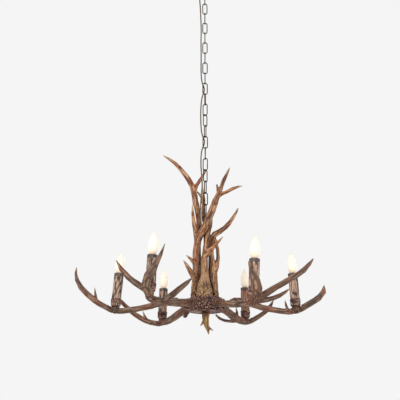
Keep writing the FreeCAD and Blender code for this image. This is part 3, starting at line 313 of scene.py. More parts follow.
def metal(dark, bright, rough, metallic=1.0):
    """Metal that is dark in its hollows and bright where it is rubbed."""
    def describe(graph):
        place = graph.place()
        wear = graph.clouds(place, 70.0, 4.0, 0.6)
        grit = graph.clouds(place, 900.0, 2.0, 0.5)
        share = (wear + (grit - 0.5) * 0.35).ramp(0.38, 0.68)
        colour = graph.mix(share, dark, bright)
        return {"Base Color": colour, "Metallic": metallic, "Roughness": rough + (0.5 - share) * 0.16,
                "Normal": graph.bump(grit, 0.0002, 0.4)}
    return describe


def moulded(low, high, rough, scale=240.0):
    """A moulded or plainly painted part, a little uneven in its tone."""
    def describe(graph):
        grain = graph.clouds(graph.place(), scale, 3.0, 0.6)
        return {"Base Color": graph.mix(grain.ramp(0.35, 0.7), low, high),
                "Roughness": rough + (grain - 0.5) * 0.15, "Normal": graph.bump(grain, 0.0003, 0.5)}
    return describe


def lit_glass(graph):
    """A frosted bulb that is lit: palest from a third of the way up, peach at its foot, cream at its tip."""
    frost = graph.clouds(graph.place(), 500.0, 2.0, 0.5)
    rise = graph.value_on("rise")
    heart = rise.ramp(0.0, 0.3) * rise.ramp(1.2, 0.75)
    tint = graph.mix(heart, srgb(226, 198, 166), srgb(244, 233, 216))
    glow = graph.mix(heart * frost.ramp(0.2, 0.6, 0.85, 1.0), srgb(220, 168, 120), srgb(255, 234, 206))
    return {"Base Color": tint, "Roughness": 0.32 + (frost - 0.5) * 0.1, "Emission Color": glow,
            "Emission Strength": 0.14, "Normal": graph.bump(frost, 0.0001, 0.3)}


def sheath(graph):
    """The cable's olive sheath, worn in patches."""
    grain = graph.clouds(graph.place(), 700.0, 2.0, 0.5)
    wear = graph.clouds(graph.place(), 40.0, 2.0, 0.5)
    return {"Base Color": graph.mix(wear.ramp(0.35, 0.7), srgb(62, 44, 20), srgb(98, 76, 40)),
            "Roughness": 0.4 + (grain - 0.5) * 0.2, "Normal": graph.bump(grain, 0.0002, 0.4)}


BARK = finish("bark_relief", bark)
BRONZE = finish("antique_bronze", metal(srgb(26, 17, 8), srgb(80, 60, 33), 0.46, 0.5))
ZINC = finish("zinc_plate", metal(srgb(120, 120, 122), srgb(176, 176, 178), 0.34))
CAP_METAL = finish("cap_aluminium", metal(srgb(150, 148, 142), srgb(205, 203, 196), 0.3))
BRASS = finish("contact_brass", metal(srgb(140, 104, 50), srgb(206, 166, 92), 0.3))
BULB_GLASS = finish("frosted_lit_glass", lit_glass)
SHEATH = finish("cable_sheath", sheath)
WHITE_PLASTIC = finish("pale_plastic", moulded(srgb(214, 208, 196), srgb(232, 228, 218), 0.45))
BLACK_PLASTIC = finish("dark_plastic", moulded(srgb(26, 22, 20), srgb(40, 35, 32), 0.5))
DARK_PAINT = finish("dark_paint", moulded(srgb(22, 11, 7), srgb(46, 27, 19), 0.75))
PLUG_PAINT = finish("plug_paint", moulded(srgb(150, 126, 100), srgb(206, 190, 164), 0.5, 320.0))
print("finishes:", len(bpy.data.materials))

# %% [markdown]
# ## Helpers for pieces
# A rigid node comes as loose triangles. A copy with its doubles merged can be smoothed, and it then stands
# for the node. `dressed` ends every piece the same way: material, body, and the node that it replaces.

# %% Helpers for pieces
SAME_PLACE = 2e-6
BEVEL_ANGLE, SHARP_ANGLE = math.radians(38), math.radians(42)


def slot_of(node):
    rows = frame["record"]["subparts"]
    return next(row["material_slot"] for row in rows if row["node"] == node)


def dressed(name, mesh, look, *nodes):
    """An object for a finished mesh, on the body of the node that it stands for."""
    piece = placed(name, mesh)
    mesh.materials.clear()
    mesh.materials.append(look)
    first = frame["nodes"][nodes[0]]
    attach(piece, first["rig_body"])
    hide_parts(*nodes)
    slot_of(nodes[0])


def own_mesh(node):
    """A copy of a node's mesh as one connected skin."""
    work = bmesh.new()
    work.from_mesh(frame["nodes"][node].data)
    bmesh.ops.remove_doubles(work, verts=work.verts, dist=SAME_PLACE)
    mesh = bpy.data.meshes.new(node + "_skin")
    work.to_mesh(mesh)
    work.free()
    return mesh


def plain_mesh(holder):
    """The mesh that Blender makes of an object and its modifiers. The object itself goes."""
    graph = bpy.context.evaluated_depsgraph_get()
    made = bpy.data.meshes.new_from_object(holder.evaluated_get(graph))
    bpy.data.objects.remove(holder)
    return made


def after_modifier(mesh, kind, **settings):
    """The mesh that one modifier makes of it."""
    holder = placed("holder", mesh)
    modifier = holder.modifiers.new(kind.lower(), kind)
    for name, value in settings.items():
        setattr(modifier, name, value)
    return plain_mesh(holder)


def rounded_copy(node, look, bevel=0.0003):
    """A smooth copy of a turned or bent node, with a fine bevel that catches the light."""
    mesh = after_modifier(own_mesh(node), "BEVEL", width=bevel, segments=2, limit_method="ANGLE",
                          angle_limit=BEVEL_ANGLE)
    mesh.shade_smooth()
    mesh.set_sharp_from_angle(angle=SHARP_ANGLE)
    dressed(node + "_dressed", mesh, look, node)


def read(mesh, what="co"):
    """Every vertex's place, or its normal, as rows of three."""
    values = np.empty(len(mesh.vertices) * 3, np.float32)
    mesh.vertices.foreach_get(what, values)
    return values.reshape(-1, 3).astype(float)


def write(mesh, places):
    mesh.vertices.foreach_set("co", places.astype(np.float32).ravel())
    mesh.update()


def put_on(mesh, name, values):
    """Keeps a number or a vector on each vertex, for the material to read."""
    kind, field = ("FLOAT", "value") if values.ndim == 1 else ("FLOAT_VECTOR", "vector")
    kept = mesh.attributes.new(name, kind, "POINT")
    kept.data.foreach_set(field, values.astype(np.float32).ravel())


print("piece helpers ready")

# %% [markdown]
# ## The supply cable
# A round cable runs from the canopy down beside the chain and goes into the stem's side. It carries no
# weight, but it is held at both ends and leans on the chain, weaving in and out of two links. Straight runs
# with rounded corners would look like bent wire, so it is one NURBS line with the rigid tube's own points.

# %% Supply cable
CABLE_DIAMETER = 0.0046
CABLE_ROUTE = [
    (-13, 0, 270), (-13, 0, 296), (-18, -3, 324), (-17, -5, 362), (-14, -8, 404), (-10, -11, 440),
    (-14, -7, 486), (-16, -1, 530), (-13, -7, 572), (-3, -6, 594), (-2.5, 6, 615), (-13, 6, 639),
    (-16, 1, 684), (-16, -2, 734), (-12, -7, 778), (-3, -6, 803), (-3, 5, 824), (-13, 5, 850),
    (-15, 1, 896), (-14, -2, 950), (-15, 1, 1004), (-14, -2, 1058), (-15, 2, 1110), (-17, -1, 1158),
    (-20, 0, 1202),
]
route = [Vector((x / 1000, y / 1000, HUB_LEVEL + height / 1000)) for x, y, height in CABLE_ROUTE]
route.append(Vector((-0.02, 0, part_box("terminal_block")[0].z)))


def nurbs_line(points, bevel):
    """A curve of one open spline with the points as its control points."""
    curve = bpy.data.curves.new("line", "CURVE")
    curve.dimensions = "3D"
    spline = curve.splines.new("NURBS")
    spline.points.add(len(points) - 1)
    for place, point in zip(spline.points, points):
        place.co = (*point, 1)
    spline.order_u = 3
    spline.use_endpoint_u = True
    spline.resolution_u = 10
    curve.bevel_depth = bevel
    curve.bevel_resolution = 5
    curve.use_fill_caps = True
    return plain_mesh(placed("line", curve))


cable_line = nurbs_line(route, 0)
cable_mesh = nurbs_line(route, CABLE_DIAMETER / 2)
cable_mesh.shade_smooth()
cable_mesh.materials.append(SHEATH)
cable = placed("supply_cable_drawn", cable_mesh)
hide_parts("supply_cable")
slot_of("supply_cable")
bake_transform(cable)

# %% [markdown]
# ## Skins that know their limb
# Furrows on an antler run along it, whatever way it bends. Stretched noise in plain space only follows one
# direction, so each limb's skin is first made even by a voxel remesh. A ray shot inwards from every vertex
# finds the far side, and half way lies the limb's middle line. The place on that line, shortened, plus the
# offset from it, is the `grain`: noise read there is drawn out along the limb, through every bend and fork.

# %% Limb skins
VOXEL = 0.0015
PULL, PUSH = 0.5, 0.52
LINE_ROUNDS = 30
RAY_START, RAY_REACH = 1e-4, 0.08
LEAST_THICKNESS, USUAL_THICKNESS = 0.002, 0.004


def edge_pairs(mesh):
    pairs = np.empty(len(mesh.edges) * 2, np.int32)
    mesh.edges.foreach_get("vertices", pairs)
    return pairs.reshape(-1, 2)


def averaged(values, pairs, rounds, push=0.0):
    """Moves each vertex's value towards its neighbours' mean; a push after each pull keeps the size."""
    count = len(values)
    first, second = pairs.T
    valence = np.maximum(np.bincount(pairs.ravel(), minlength=count), 1)[:, None]
    for _ in range(rounds):
        for share in (PULL, -push) if push else (PULL,):
            sums = [np.bincount(first, column[second], count) + np.bincount(second, column[first], count)
                    for column in values.T]
            values = values + share * (np.stack(sums, axis=1) / valence - values)
    return values


def without_crumbs(mesh):
    """Drops the loose crumbs that a remesh leaves where a tip is thinner than a voxel, and counts them."""
    work = bmesh.new()
    work.from_mesh(mesh)
    waiting, islands = set(work.verts), []
    while waiting:
        island = [waiting.pop()]
        for vertex in island:
            for edge in vertex.link_edges:
                other = edge.other_vert(vertex)
                if other in waiting:
                    waiting.discard(other)
                    island.append(other)
        islands.append(island)
    least = max(len(island) for island in islands) / 10
    crumbs = [vertex for island in islands if len(island) < least for vertex in island]
    bmesh.ops.delete(work, geom=crumbs, context="VERTS")
    work.to_mesh(mesh)
    work.free()
    return len(crumbs)


def even_skin(node, rounds):
    """The node's skin with even small faces and its facets smoothed away."""
    mesh = after_modifier(own_mesh(node), "REMESH", mode="VOXEL", voxel_size=VOXEL)
    print(node, "crumbs dropped:", without_crumbs(mesh))
    pairs = edge_pairs(mesh)
    write(mesh, averaged(read(mesh), pairs, rounds, PUSH))
    return mesh, pairs


def limb_of(mesh, pairs):
    """For each vertex, the nearest place on the limb's middle line, and the limb's radius there."""
    places, normals = read(mesh), read(mesh, "normal")
    faces = [list(face.vertices) for face in mesh.polygons]
    tree = BVHTree.FromPolygons([Vector(place) for place in places], faces)
    thickness = np.full(len(places), USUAL_THICKNESS)
    for index, (place, normal) in enumerate(zip(places, normals)):
        inward = -Vector(normal)
        distance = tree.ray_cast(Vector(place) + inward * RAY_START, inward, RAY_REACH)[3]
        if distance is not None:
            thickness[index] = max(distance, LEAST_THICKNESS)
    middle = averaged(places - normals * thickness[:, None] / 2, pairs, LINE_ROUNDS)
    radius = averaged(thickness[:, None] / 2, pairs, LINE_ROUNDS // 2)[:, 0]
    return middle, radius


print("voxel:", VOXEL * 1000, "mm")

# %% [markdown]
# ## Furrows and pearls
# A real antler has long furrows, and round its foot, the burr, it is covered in small pearls. A bump in the
# material would be flat at the outline, so both are true relief. The furrows are where a noise crosses zero,
# which gives thin, branching valleys. Pearls are bumps round scattered points. Both are cut inwards from the
# skin, or only a little out of it, and the skin's own box is the limit, so that the piece keeps its size.

# %% Furrows and pearls
# All in metres, but for a pearl's radius, which is a share of its width, and the ridge's level.
FURROW_WIDTH, FURROW_DEPTH = 0.0042, 0.0012
PEARL_WIDTH, PEARL_HEIGHT, PEARL_SUNK, PEARL_RADIUS = 0.0052, 0.002, 0.001, 0.54
LUMPS_PER_METRE, LUMP_HEIGHT = 45, 0.0009
GRAIN_SHORTENING = 0.08
UNCUT_RIDGE = 0.85
SMOOTH_BELOW, FULL_RELIEF_FROM = 0.0015, 0.007


def smoothstep(value, low, high):
    share = np.clip((value - low) / (high - low), 0, 1)
    return share * share * (3 - 2 * share)


def furrows(grain, seed):
    """Between 0 in a furrow and 1 on a ridge."""
    shift = Vector((seed, seed * 0.37, seed * 0.71))
    heights = np.empty(len(grain))
    for index, place in enumerate(grain):
        spot = Vector(place) / FURROW_WIDTH + shift
        broad = abs(noise.noise(spot))
        fine = abs(noise.noise(spot * 2.3 + shift))
        heights[index] = min(1.0, broad * 3.0) * 0.72 + min(1.0, fine * 3.2) * 0.28
    return heights


def pearls(places, seed):
    """Between 0 and 1, with a round bump at each scattered point."""
    shift = Vector((seed * 0.53, seed, seed * 0.29))
    heights = np.empty(len(places))
    for index, place in enumerate(places):
        nearest = noise.voronoi(Vector(place) / PEARL_WIDTH + shift)[0][0]
        heights[index] = math.sqrt(max(0.0, 1 - (nearest / PEARL_RADIUS) ** 2))
    return heights


def carve(mesh, pairs, seed, burr, depth=FURROW_DEPTH, foot=None):
    """Cuts the relief into a limb's skin and keeps what the paint follows.

    burr is how pearly each vertex is, foot how much of the foot's colour it has.
    """
    middle, radius = limb_of(mesh, pairs)
    places, normals = read(mesh), read(mesh, "normal")
    lowest, highest = places.min(axis=0), places.max(axis=0)
    grain = middle * GRAIN_SHORTENING + (places - middle)
    share = smoothstep(radius, SMOOTH_BELOW, FULL_RELIEF_FROM)
    ridges = furrows(grain, seed)
    bumps = np.zeros(len(places))
    rough = burr > 0.01
    bumps[rough] = pearls(places[rough], seed)
    shift = Vector((seed, 0, 0))
    lumps = np.array([noise.noise(Vector(place) * LUMPS_PER_METRE + shift) for place in places])
    relief = ridges * (1 - burr) + bumps * burr
    height = (ridges - UNCUT_RIDGE) * depth * share * (1 - burr * 0.7)
    height += bumps * burr * PEARL_HEIGHT - burr * PEARL_SUNK + lumps * LUMP_HEIGHT * share
    write(mesh, np.clip(places + normals * height[:, None], lowest, highest))
    put_on(mesh, "grain", grain)
    put_on(mesh, "girth", radius)
    put_on(mesh, "relief", relief)
    put_on(mesh, "foot", np.zeros(len(places)) if foot is None else foot)
    mesh.shade_smooth()


print("furrows", FURROW_DEPTH * 1000, "mm deep")

# %% [markdown]
# ## Arm antlers
# Six antlers reach out from the hub, and each carries a candle on a seat. Sculpting them afresh could miss
# the hub or the seat, so each node's own skin is carved. It is pearly at the hub and round the seat. The
# seats come from the joints that the bulbs turn on, because those know where each candle stands and leans.

# %% Arm antlers
ARM_WORDS = ["right", "far_right", "far_left", "left", "near_left", "near_right"]
ANTLER_ROUNDS = 14
ARM_BURR, SEAT_BURR, ARM_FOOT = (0.09, 0.15), (0.02, 0.034), (0.1, 0.19)
ARM_FURROW_DEPTH = 0.0007

SEATS = {}
for word in ARM_WORDS:
    turn = next(row for row in frame["joints"] if row["name"] == "unscrew_" + word)
    upright = Vector(turn["axis"]).normalized()
    lean = Vector((0, 0, 1)).rotation_difference(upright).to_matrix().to_4x4()
    SEATS[word] = Matrix.Translation(turn["pos_m"]) @ lean

triangles = 0
for number, word in enumerate(ARM_WORDS):
    node = "arm_antler_" + word
    skin, pairs = even_skin(node, ANTLER_ROUNDS)
    places = read(skin)
    from_axis = np.hypot(places[:, 0], places[:, 1])
    from_seat = np.linalg.norm(places - np.array(SEATS[word].translation), axis=1)
    at_hub, at_seat = 1 - smoothstep(from_axis, *ARM_BURR), 1 - smoothstep(from_seat, *SEAT_BURR)
    foot = 1 - smoothstep(from_axis, *ARM_FOOT)
    carve(skin, pairs, 11 + number * 7, np.maximum(at_hub, 0.9 * at_seat), ARM_FURROW_DEPTH, foot)
    dressed("arm_" + word, skin, ARM_PAINT, node)
    triangles += 2 * len(skin.polygons)
print("arms:", triangles, "triangles")

# %% [markdown]
# ## Trunk antlers
# Five antlers stand upright round the stem. They are carved as the arms are, with deeper furrows. The front
# one shows a long pearly foot in golden tan, and the others only a little of it above the hub.

# %% Trunk antlers
TRUNK_WORDS = ["front", "left", "back_left", "back_right", "right"]
BURR_FROM, TRUNK_FOOT = 0.01, (0.03, 0.15)
FRONT_FOOT, OTHER_FEET = (0.1, 1.0), (0.03, 0.35)
FOOT_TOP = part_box("hub_casting")[1].z
triangles = 0
for number, word in enumerate(TRUNK_WORDS):
    node = "trunk_antler_" + word
    skin, pairs = even_skin(node, ANTLER_ROUNDS)
    height = read(skin)[:, 2] - FOOT_TOP
    burr_top, golden = FRONT_FOOT if word == "front" else OTHER_FEET
    burr = 1 - smoothstep(height, BURR_FROM, burr_top)
    foot = golden * (1 - smoothstep(height, *TRUNK_FOOT))
    carve(skin, pairs, 71 + number * 9, burr, FURROW_DEPTH, foot)
    dressed("trunk_" + word, skin, TRUNK_PAINT, node)
    triangles += 2 * len(skin.polygons)
print("trunk:", triangles, "triangles")

# %% [markdown]
# ## Hub and finial
# The hub is a burr all over: pearls on a lumpy dome. A plate closes it from below, and the finial, a small
# antler, points down from that. All are castings with the same relief as the antlers, so the same carving
# makes them. Only the round plug is plain.

# %% Hub and finial
HUB_BURR, PLATE_BURR = 0.85, 0.5
FINIAL_BURR, FINIAL_FOOT = (0.006, 0.02), (0.006, 0.03)
skin, pairs = even_skin("hub_casting", 8)
carve(skin, pairs, 151, np.full(len(skin.vertices), HUB_BURR))
dressed("hub_dome", skin, HUB_PAINT, "hub_casting")
skin, pairs = even_skin("finial_antler", 10)
below = HUB_LEVEL - read(skin)[:, 2]
burr, foot = 0.8 * (1 - smoothstep(below, *FINIAL_BURR)), 1 - smoothstep(below, *FINIAL_FOOT)
carve(skin, pairs, 173, burr, FURROW_DEPTH, foot)
dressed("finial", skin, FINIAL_PAINT, "finial_antler")
skin, pairs = even_skin("hub_plate", 4)
carve(skin, pairs, 163, np.full(len(skin.vertices), PLATE_BURR))
dressed("plate", skin, HUB_PAINT, "hub_plate")
rounded_copy("hub_plug", PLUG_PAINT, 0.0015)
print("hub and finial done")

# %% [markdown]
# ## Turned pieces
# All six candles have the same pieces, so each is made in the candle's own frame and set on its seat. A Screw
# modifier could turn a profile, but it can't cut bark on the way. So a turned piece is a grid here: rings of
# points up a profile, joined round, and a function may move each point in or out.


# %% Turned skins
def turned_grid(profile, around, shape=None):
    """A skin from (radius, height) rings, closed at the axis or on itself. shape may change radii."""
    work = bmesh.new()
    rings = []
    for ring, (radius, height) in enumerate(profile):
        if radius == 0:
            rings.append([work.verts.new((0, 0, height))])
            continue
        row = []
        for step in range(around):
            angle = 2 * math.pi * step / around
            here = shape(angle, height, radius, ring) if shape else radius
            row.append(work.verts.new((here * math.cos(angle), here * math.sin(angle), height)))
        rings.append(row)
    for low, high in zip(rings, rings[1:]):
        for step in range(max(len(low), len(high))):
            after = (step + 1) % max(len(low), len(high))
            if len(low) == 1:
                corners = [low[0], high[after], high[step]]
            elif len(high) == 1:
                corners = [low[step], low[after], high[0]]
            else:
                corners = [low[step], low[after], high[after], high[step]]
            work.faces.new(corners)
    if len(rings[0]) > 1 and len(rings[-1]) > 1:
        for step in range(around):
            after = (step + 1) % around
            work.faces.new([rings[-1][step], rings[-1][after], rings[0][after], rings[0][step]])
    bmesh.ops.recalc_face_normals(work, faces=work.faces)
    mesh = bpy.data.meshes.new("turned")
    work.to_mesh(mesh)
    work.free()
    mesh.shade_smooth()
    return mesh


def heights_of(node):
    """How far a node of the upright candle starts and ends above its seat, and the node's radius."""
    low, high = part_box(node)
    seat = SEATS["right"].translation.z
    return low.z - seat, high.z - seat, (high.x - low.x) / 2


def between(start, end, count):
    return [start + (end - start) * step / count for step in range(count + 1)]


print("turned pieces ready")

# %% [markdown]
# ## Bark sleeves
# A candle's sleeve is a cast tube with the look of bark: long shallow cracks, a dark rim, and no two alike.
# Two get a warmer tint, which is painted light: it stands for warmer light falling on them. The cracks are
# cut where a noise crosses zero, as the furrows are, but on the grid's own angle and height, so that they
# run up the tube.

# %% Bark sleeves
SLEEVE_LOW, SLEEVE_TOP, SLEEVE_RADIUS = heights_of("candle_sleeve_right")
SLEEVE_WALL = 0.0015
CRACKS_AROUND, CRACKS_UP, CRACK_DEPTH = 2.2, 24, 0.0013
RIM_FROM, RIM_FULL = SLEEVE_TOP - 0.012, SLEEVE_TOP - 0.0105
# Painted light: how much red-brown tint stands for the warmer light on each of these sleeves.
SLEEVES_IN_WARMER_LIGHT = {"far_right": 0.6, "far_left": 0.3}


def sleeve(word, seed):
    rows = 120
    around = 112
    outside = [(SLEEVE_RADIUS, height) for height in between(SLEEVE_LOW, SLEEVE_TOP - 0.0006, rows)]
    inner = SLEEVE_RADIUS - SLEEVE_WALL
    rim = [(SLEEVE_RADIUS - 0.0004, SLEEVE_TOP), (inner + 0.0003, SLEEVE_TOP), (inner, SLEEVE_TOP - 0.0008)]
    profile = outside + rim + [(inner, SLEEVE_LOW)]
    cut = []

    def cut_bark(angle, height, radius, ring):
        """Only the outside is cut, and its points come first, so cut is in the order of the vertices."""
        if ring >= len(outside):
            return radius
        spot = Vector((math.cos(angle) * CRACKS_AROUND, math.sin(angle) * CRACKS_AROUND,
                       height * CRACKS_UP + seed))
        broad = abs(noise.noise(spot))
        fine = abs(noise.noise(spot * 3.1 + Vector((seed, 0, 0))))
        cut.append(min(1.0, broad * 4.2) * 0.75 + min(1.0, fine * 3.0) * 0.25)
        return radius - (1 - cut[-1]) * CRACK_DEPTH

    mesh = turned_grid(profile, around, cut_bark)
    places = read(mesh)
    relief = np.full(len(places), 0.5)
    relief[:len(cut)] = cut
    put_on(mesh, "relief", relief)
    put_on(mesh, "rim", smoothstep(places[:, 2], RIM_FROM, RIM_FULL))
    # The painted light's share, kept on every vertex for the bark to read.
    put_on(mesh, "painted_warm_light", np.full(len(places), SLEEVES_IN_WARMER_LIGHT.get(word, 0.0)))
    put_on(mesh, "grain", places * np.array([1, 1, 0.2]))
    mesh.transform(SEATS[word])
    return mesh


for number, word in enumerate(ARM_WORDS):
    dressed("bark_sleeve_" + word, sleeve(word, 3.1 * number), BARK, "candle_sleeve_" + word)
print("sleeve", round(SLEEVE_LOW, 4), round(SLEEVE_TOP, 4), round(SLEEVE_RADIUS, 4))

# %% [markdown]
# ## Bulbs
# A flame bulb swells from a thin neck and draws in to a point. A free curve easily gets a waist or a corner,
# so the swelling is two arcs through points at known shares of the glass's length and radius. The metal caps
# are the nodes' own turned shapes.

# %% Bulbs
GLASS_LOW, GLASS_TOP, GLASS_RADIUS = heights_of("bulb_glass_right")
GLASS_BASE = GLASS_LOW + 0.006
CAP_WALL = 0.0008
NECK_RADIUS, NECK_HEIGHT, TIP_RADIUS = 0.007, 0.004, 0.0008
GLASS_FLANK = [(0.78, 0.2), (1, 0.42), (0.86, 0.62), (0.5, 0.82), (0.2, 0.94)]


def arc_through(first, second, third, steps):
    """Points after the first, up to the third, on the circle through all three."""
    first, second, third = (np.array(spot) for spot in (first, second, third))
    sides = np.array([second - first, third - first])
    centre = np.linalg.solve(sides, (np.array([second @ second, third @ third]) - first @ first) / 2)
    start, end = (math.atan2(spot[1] - centre[1], spot[0] - centre[0]) for spot in (first, third))
    radius = np.linalg.norm(first - centre)
    return [tuple(centre + radius * np.array([math.cos(angle), math.sin(angle)]))
            for angle in between(start, end, steps)[1:]]


def glass():
    foot = heights_of("bulb_cap_right")[2] - CAP_WALL
    length = GLASS_TOP - GLASS_BASE
    flank = [(GLASS_RADIUS * share, GLASS_BASE + length * rise) for share, rise in GLASS_FLANK]
    shoulder = (NECK_RADIUS, GLASS_BASE + NECK_HEIGHT)
    profile = [(0, GLASS_LOW), (foot, GLASS_LOW), (foot, GLASS_BASE), (NECK_RADIUS, GLASS_BASE), shoulder]
    profile += arc_through(shoulder, flank[0], flank[1], 12) + arc_through(*flank[1:4], 12)
    profile += [flank[4], (TIP_RADIUS, GLASS_TOP), (0, GLASS_TOP)]
    return turned_grid(profile, 96)


for word in ARM_WORDS:
    bulb = glass()
    put_on(bulb, "rise", (read(bulb)[:, 2] - GLASS_BASE) / (GLASS_TOP - GLASS_BASE))
    bulb.transform(SEATS[word])
    dressed("glass_" + word, bulb, BULB_GLASS, "bulb_glass_" + word)
    rounded_copy("bulb_cap_" + word, CAP_METAL)
    rounded_copy("bulb_contact_" + word, BRASS, 0.0002)
print("bulbs:", len(ARM_WORDS))

# %% [markdown]
# ## Cups
# Each cup is a cast ring of pearls, like the burr at an antler's foot. Small spheres set round it would look
# like beads, so the node's turned form gets the same carving as the hub. The bore, where the sleeve stands,
# stays smooth.

# %% Candle cups
CUP_REACH, BORE_EDGE, CUP_FULL_BURR = 0.03, 0.0145, 0.0158
skin, pairs = even_skin("candle_cups", 5)
places = read(skin)
outside = np.zeros(len(places))
for word in ARM_WORDS:
    local = (places - np.array(SEATS[word].translation)) @ np.array(SEATS[word].to_3x3())
    off_axis = np.hypot(local[:, 0], local[:, 1])
    near = off_axis < CUP_REACH
    outside[near] = smoothstep(off_axis[near], BORE_EDGE, CUP_FULL_BURR)
carve(skin, pairs, 211, outside * 0.95)
dressed("burr_cups", skin, HUB_PAINT, "candle_cups")
print("cups:", 2 * len(skin.polygons), "triangles")

# %% [markdown]
# ## The chain
# The chain is a plain case for Geometry Nodes: one welded oval link, repeated at a fixed pitch. An Array
# modifier would turn every link by the same angle, but these hang a little askew. So a line of points carries
# how far each link is turned, and the tree sweeps a round wire along an oval and stands a copy on each point.

# %% Chain links
LINK_TURNS = [0, 90, 0, 90, 0, 90, 0, 90, 5, 80, -25, 38, 110, 12, 92, -24, 39, 112, 25, 108]
LINK_LENGTH, LINK_WIDTH, LINK_WIRE = 0.05, 0.02, 0.0036
LINK_SLACK = 0.00025
LINK_PITCH = LINK_LENGTH - 2 * LINK_WIRE - LINK_SLACK


def link_tree():
    """Copies of one oval link, on points that carry a turn."""
    tree = bpy.data.node_groups.new("chain_of_links", "GeometryNodeTree")
    shelf = tree.interface
    shelf.new_socket("Points", in_out="INPUT", socket_type="NodeSocketGeometry")
    for name, value in (("Length", LINK_LENGTH), ("Width", LINK_WIDTH), ("Wire", LINK_WIRE)):
        shelf.new_socket(name, in_out="INPUT", socket_type="NodeSocketFloat").default_value = value
    shelf.new_socket("Finish", in_out="INPUT", socket_type="NodeSocketMaterial")
    shelf.new_socket("Chain", in_out="OUTPUT", socket_type="NodeSocketGeometry")
    graph = Graph(tree)
    entry = graph.node("NodeGroupInput")
    given = {name: entry.beside(name) for name in ("Points", "Length", "Width", "Wire", "Finish")}
    bend = (given["Width"] - given["Wire"]) * 0.5
    reach = (given["Length"] - given["Wire"]) * 0.5 - bend

    def ring(radius, resolution):
        sockets = {"Resolution": resolution, "Radius": radius}
        return graph.node("GeometryNodeCurvePrimitiveCircle", {"mode": "RADIUS"}, sockets)

    # A circle's upper and lower half, moved apart, make the oval.
    circle = ring(bend, 48)
    across = graph.node("ShaderNodeSeparateXYZ", {}, {0: graph.node("GeometryNodeInputPosition")})
    along = across.beside("Y")
    side = graph.node("ShaderNodeMath", {"operation": "SIGN"}, {0: along})
    stood = graph.node("ShaderNodeCombineXYZ", {}, {"X": across, "Y": 0.0, "Z": along + side * reach})
    oval = graph.node("GeometryNodeSetPosition", {}, {"Geometry": circle, "Position": stood})
    wire = ring(given["Wire"] * 0.5, 16)
    link = graph.node("GeometryNodeCurveToMesh", {}, {"Curve": oval, "Profile Curve": wire})
    turn = graph.node("GeometryNodeInputNamedAttribute", {"data_type": "FLOAT"}, {"Name": "turn"})
    heading = graph.node("ShaderNodeCombineXYZ", {}, {"Z": turn})
    sockets = {"Points": given["Points"], "Instance": link, "Rotation": heading}
    hung = graph.node("GeometryNodeInstanceOnPoints", {}, sockets)
    real = graph.node("GeometryNodeRealizeInstances", {}, {"Geometry": hung})
    smooth = graph.node("GeometryNodeSetShadeSmooth", {}, {"Geometry": real})
    painted = graph.node("GeometryNodeSetMaterial", {}, {"Geometry": smooth, "Material": given["Finish"]})
    graph.node("NodeGroupOutput", {}, {"Chain": painted})
    return tree


LINK_TREE = link_tree()


def links_at(levels, turns):
    """A plain mesh of links, one at each level."""
    points = bpy.data.meshes.new("link_points")
    points.from_pydata([(0, 0, level) for level in levels], [], [])
    put_on(points, "turn", np.radians(np.array(turns, float)))
    holder = placed("chain_holder", points)
    modifier = holder.modifiers.new("links", "NODES")
    modifier.node_group = LINK_TREE
    for socket in LINK_TREE.interface.items_tree:
        if socket.name == "Finish":
            modifier[socket.identifier] = BRONZE
    return plain_mesh(holder)


low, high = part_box("top_link")
TOP_LINK = (low.z + high.z) / 2
levels = [TOP_LINK - LINK_PITCH * (step + 1) for step in range(len(LINK_TURNS))]
dressed("chain", links_at(levels, LINK_TURNS), BRONZE, "chain_links")
dressed("first_link", links_at([TOP_LINK], [90]), BRONZE, "top_link")
print("links:", len(levels) + 1)

# %% [markdown]
# ## Canopy and small fittings
# The canopy, its nuts, loop and bush, the stem and the hidden lamp holders are turned or bent metal and
# moulded plastic. Their rigid shapes are right, so nothing is modelled again: smooth copies with a fine bevel
# stand for them, and the plain terminal block keeps its own mesh.

# %% Fittings
for node in ("canopy", "canopy_cap_nuts", "canopy_loop"):
    rounded_copy(node, BRONZE, 0.0004)
for node in ("stem_eye", "cable_entry", "centre_stem"):
    rounded_copy(node, DARK_PAINT, 0.0004)
for node in ("crossbar", "canopy_studs", "loop_nut", "antler_bolts", "mounting_nuts", "candle_nipples"):
    rounded_copy(node, ZINC, 0.0002)
rounded_copy("cable_bush", BLACK_PLASTIC)
rounded_copy("lamp_holders", WHITE_PLASTIC)
rounded_copy("wire_connectors", WHITE_PLASTIC, 0.001)
rounded_copy("lamp_leads", SHEATH, 0.0)
block_materials = frame["nodes"]["terminal_block"].data.materials
block_materials.clear()
block_materials.append(WHITE_PLASTIC)
print("fittings done")

# %% [markdown]
# ## Light and room
# Three large soft lamps and an even sky give the plain light of a studio. Small or strong lamps would draw
# hard shadows, which the photograph doesn't have. The floor lies well below the fixture, as in a room. The
# camera sees the same pale tone behind everything.

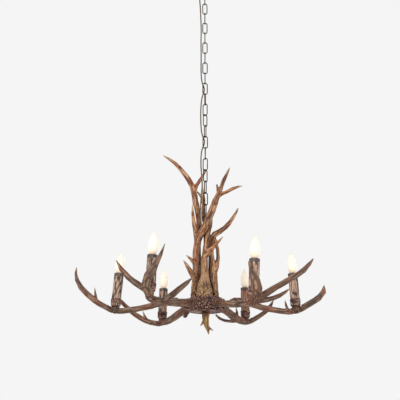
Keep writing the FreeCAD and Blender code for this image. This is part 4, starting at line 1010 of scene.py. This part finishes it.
# %% Light and room
BACKGROUND = srgb(245, 245, 245)
SKY_STRENGTH = 0.62
AIM_ABOVE_HUB = 0.2
FLOOR_REACH, FLOOR_LEVEL = 9.0, -2.35


def soft_lamp(name, place, size, power, colour=(1, 1, 1)):
    lamp = placed(name, bpy.data.lights.new(name, "AREA"))
    lamp.data.size = size
    lamp.data.energy = power
    lamp.data.color = colour
    lamp.location = place
    aim = Vector((0, 0, HUB_LEVEL + AIM_ABOVE_HUB)) - Vector(place)
    lamp.rotation_euler = aim.to_track_quat("-Z", "Y").to_euler()


soft_lamp("key", (-1.5, -2.1, -0.35), 1.3, 44, (1, 0.985, 0.96))
soft_lamp("fill", (2.0, -1.6, -1.2), 1.8, 22)
soft_lamp("rim", (0.7, 2.2, -0.4), 1.6, 17)


def pale_room():
    """A world that lights softly and looks like the photograph's background to the camera."""
    world = bpy.data.worlds.new("room")
    bpy.context.scene.world = world
    world.use_nodes = True
    world.node_tree.nodes.clear()
    graph = Graph(world.node_tree)
    seen = graph.node("ShaderNodeLightPath", output="Is Camera Ray")
    share = seen.maths("MAXIMUM", seen, seen.beside("Is Glossy Ray"))
    share = share.maths("MAXIMUM", share, seen.beside("Is Transmission Ray"))
    light = graph.node("ShaderNodeBackground", {}, {"Color": (1, 1, 1, 1), "Strength": SKY_STRENGTH})
    look = graph.node("ShaderNodeBackground", {}, {"Color": BACKGROUND, "Strength": 1.0})
    both = graph.node("ShaderNodeMixShader", {}, {0: share, 1: light, 2: look})
    graph.node("ShaderNodeOutputWorld", {}, {"Surface": both})


def floor():
    """A wide pale floor, as far under the ceiling as in a room."""
    mesh = bpy.data.meshes.new("floor")
    sides = ((-1, -1), (1, -1), (1, 1), (-1, 1))
    corners = [(x * FLOOR_REACH, y * FLOOR_REACH, FLOOR_LEVEL) for x, y in sides]
    mesh.from_pydata(corners, [], [(0, 1, 2, 3)])
    paint = moulded(srgb(228, 228, 228), srgb(232, 232, 232), 0.9, 4.0)
    mesh.materials.append(finish("floor_paint", paint))
    plane = placed("floor", mesh)


pale_room()
floor()
bpy.context.scene.view_settings.view_transform = "Standard"
print("room ready")
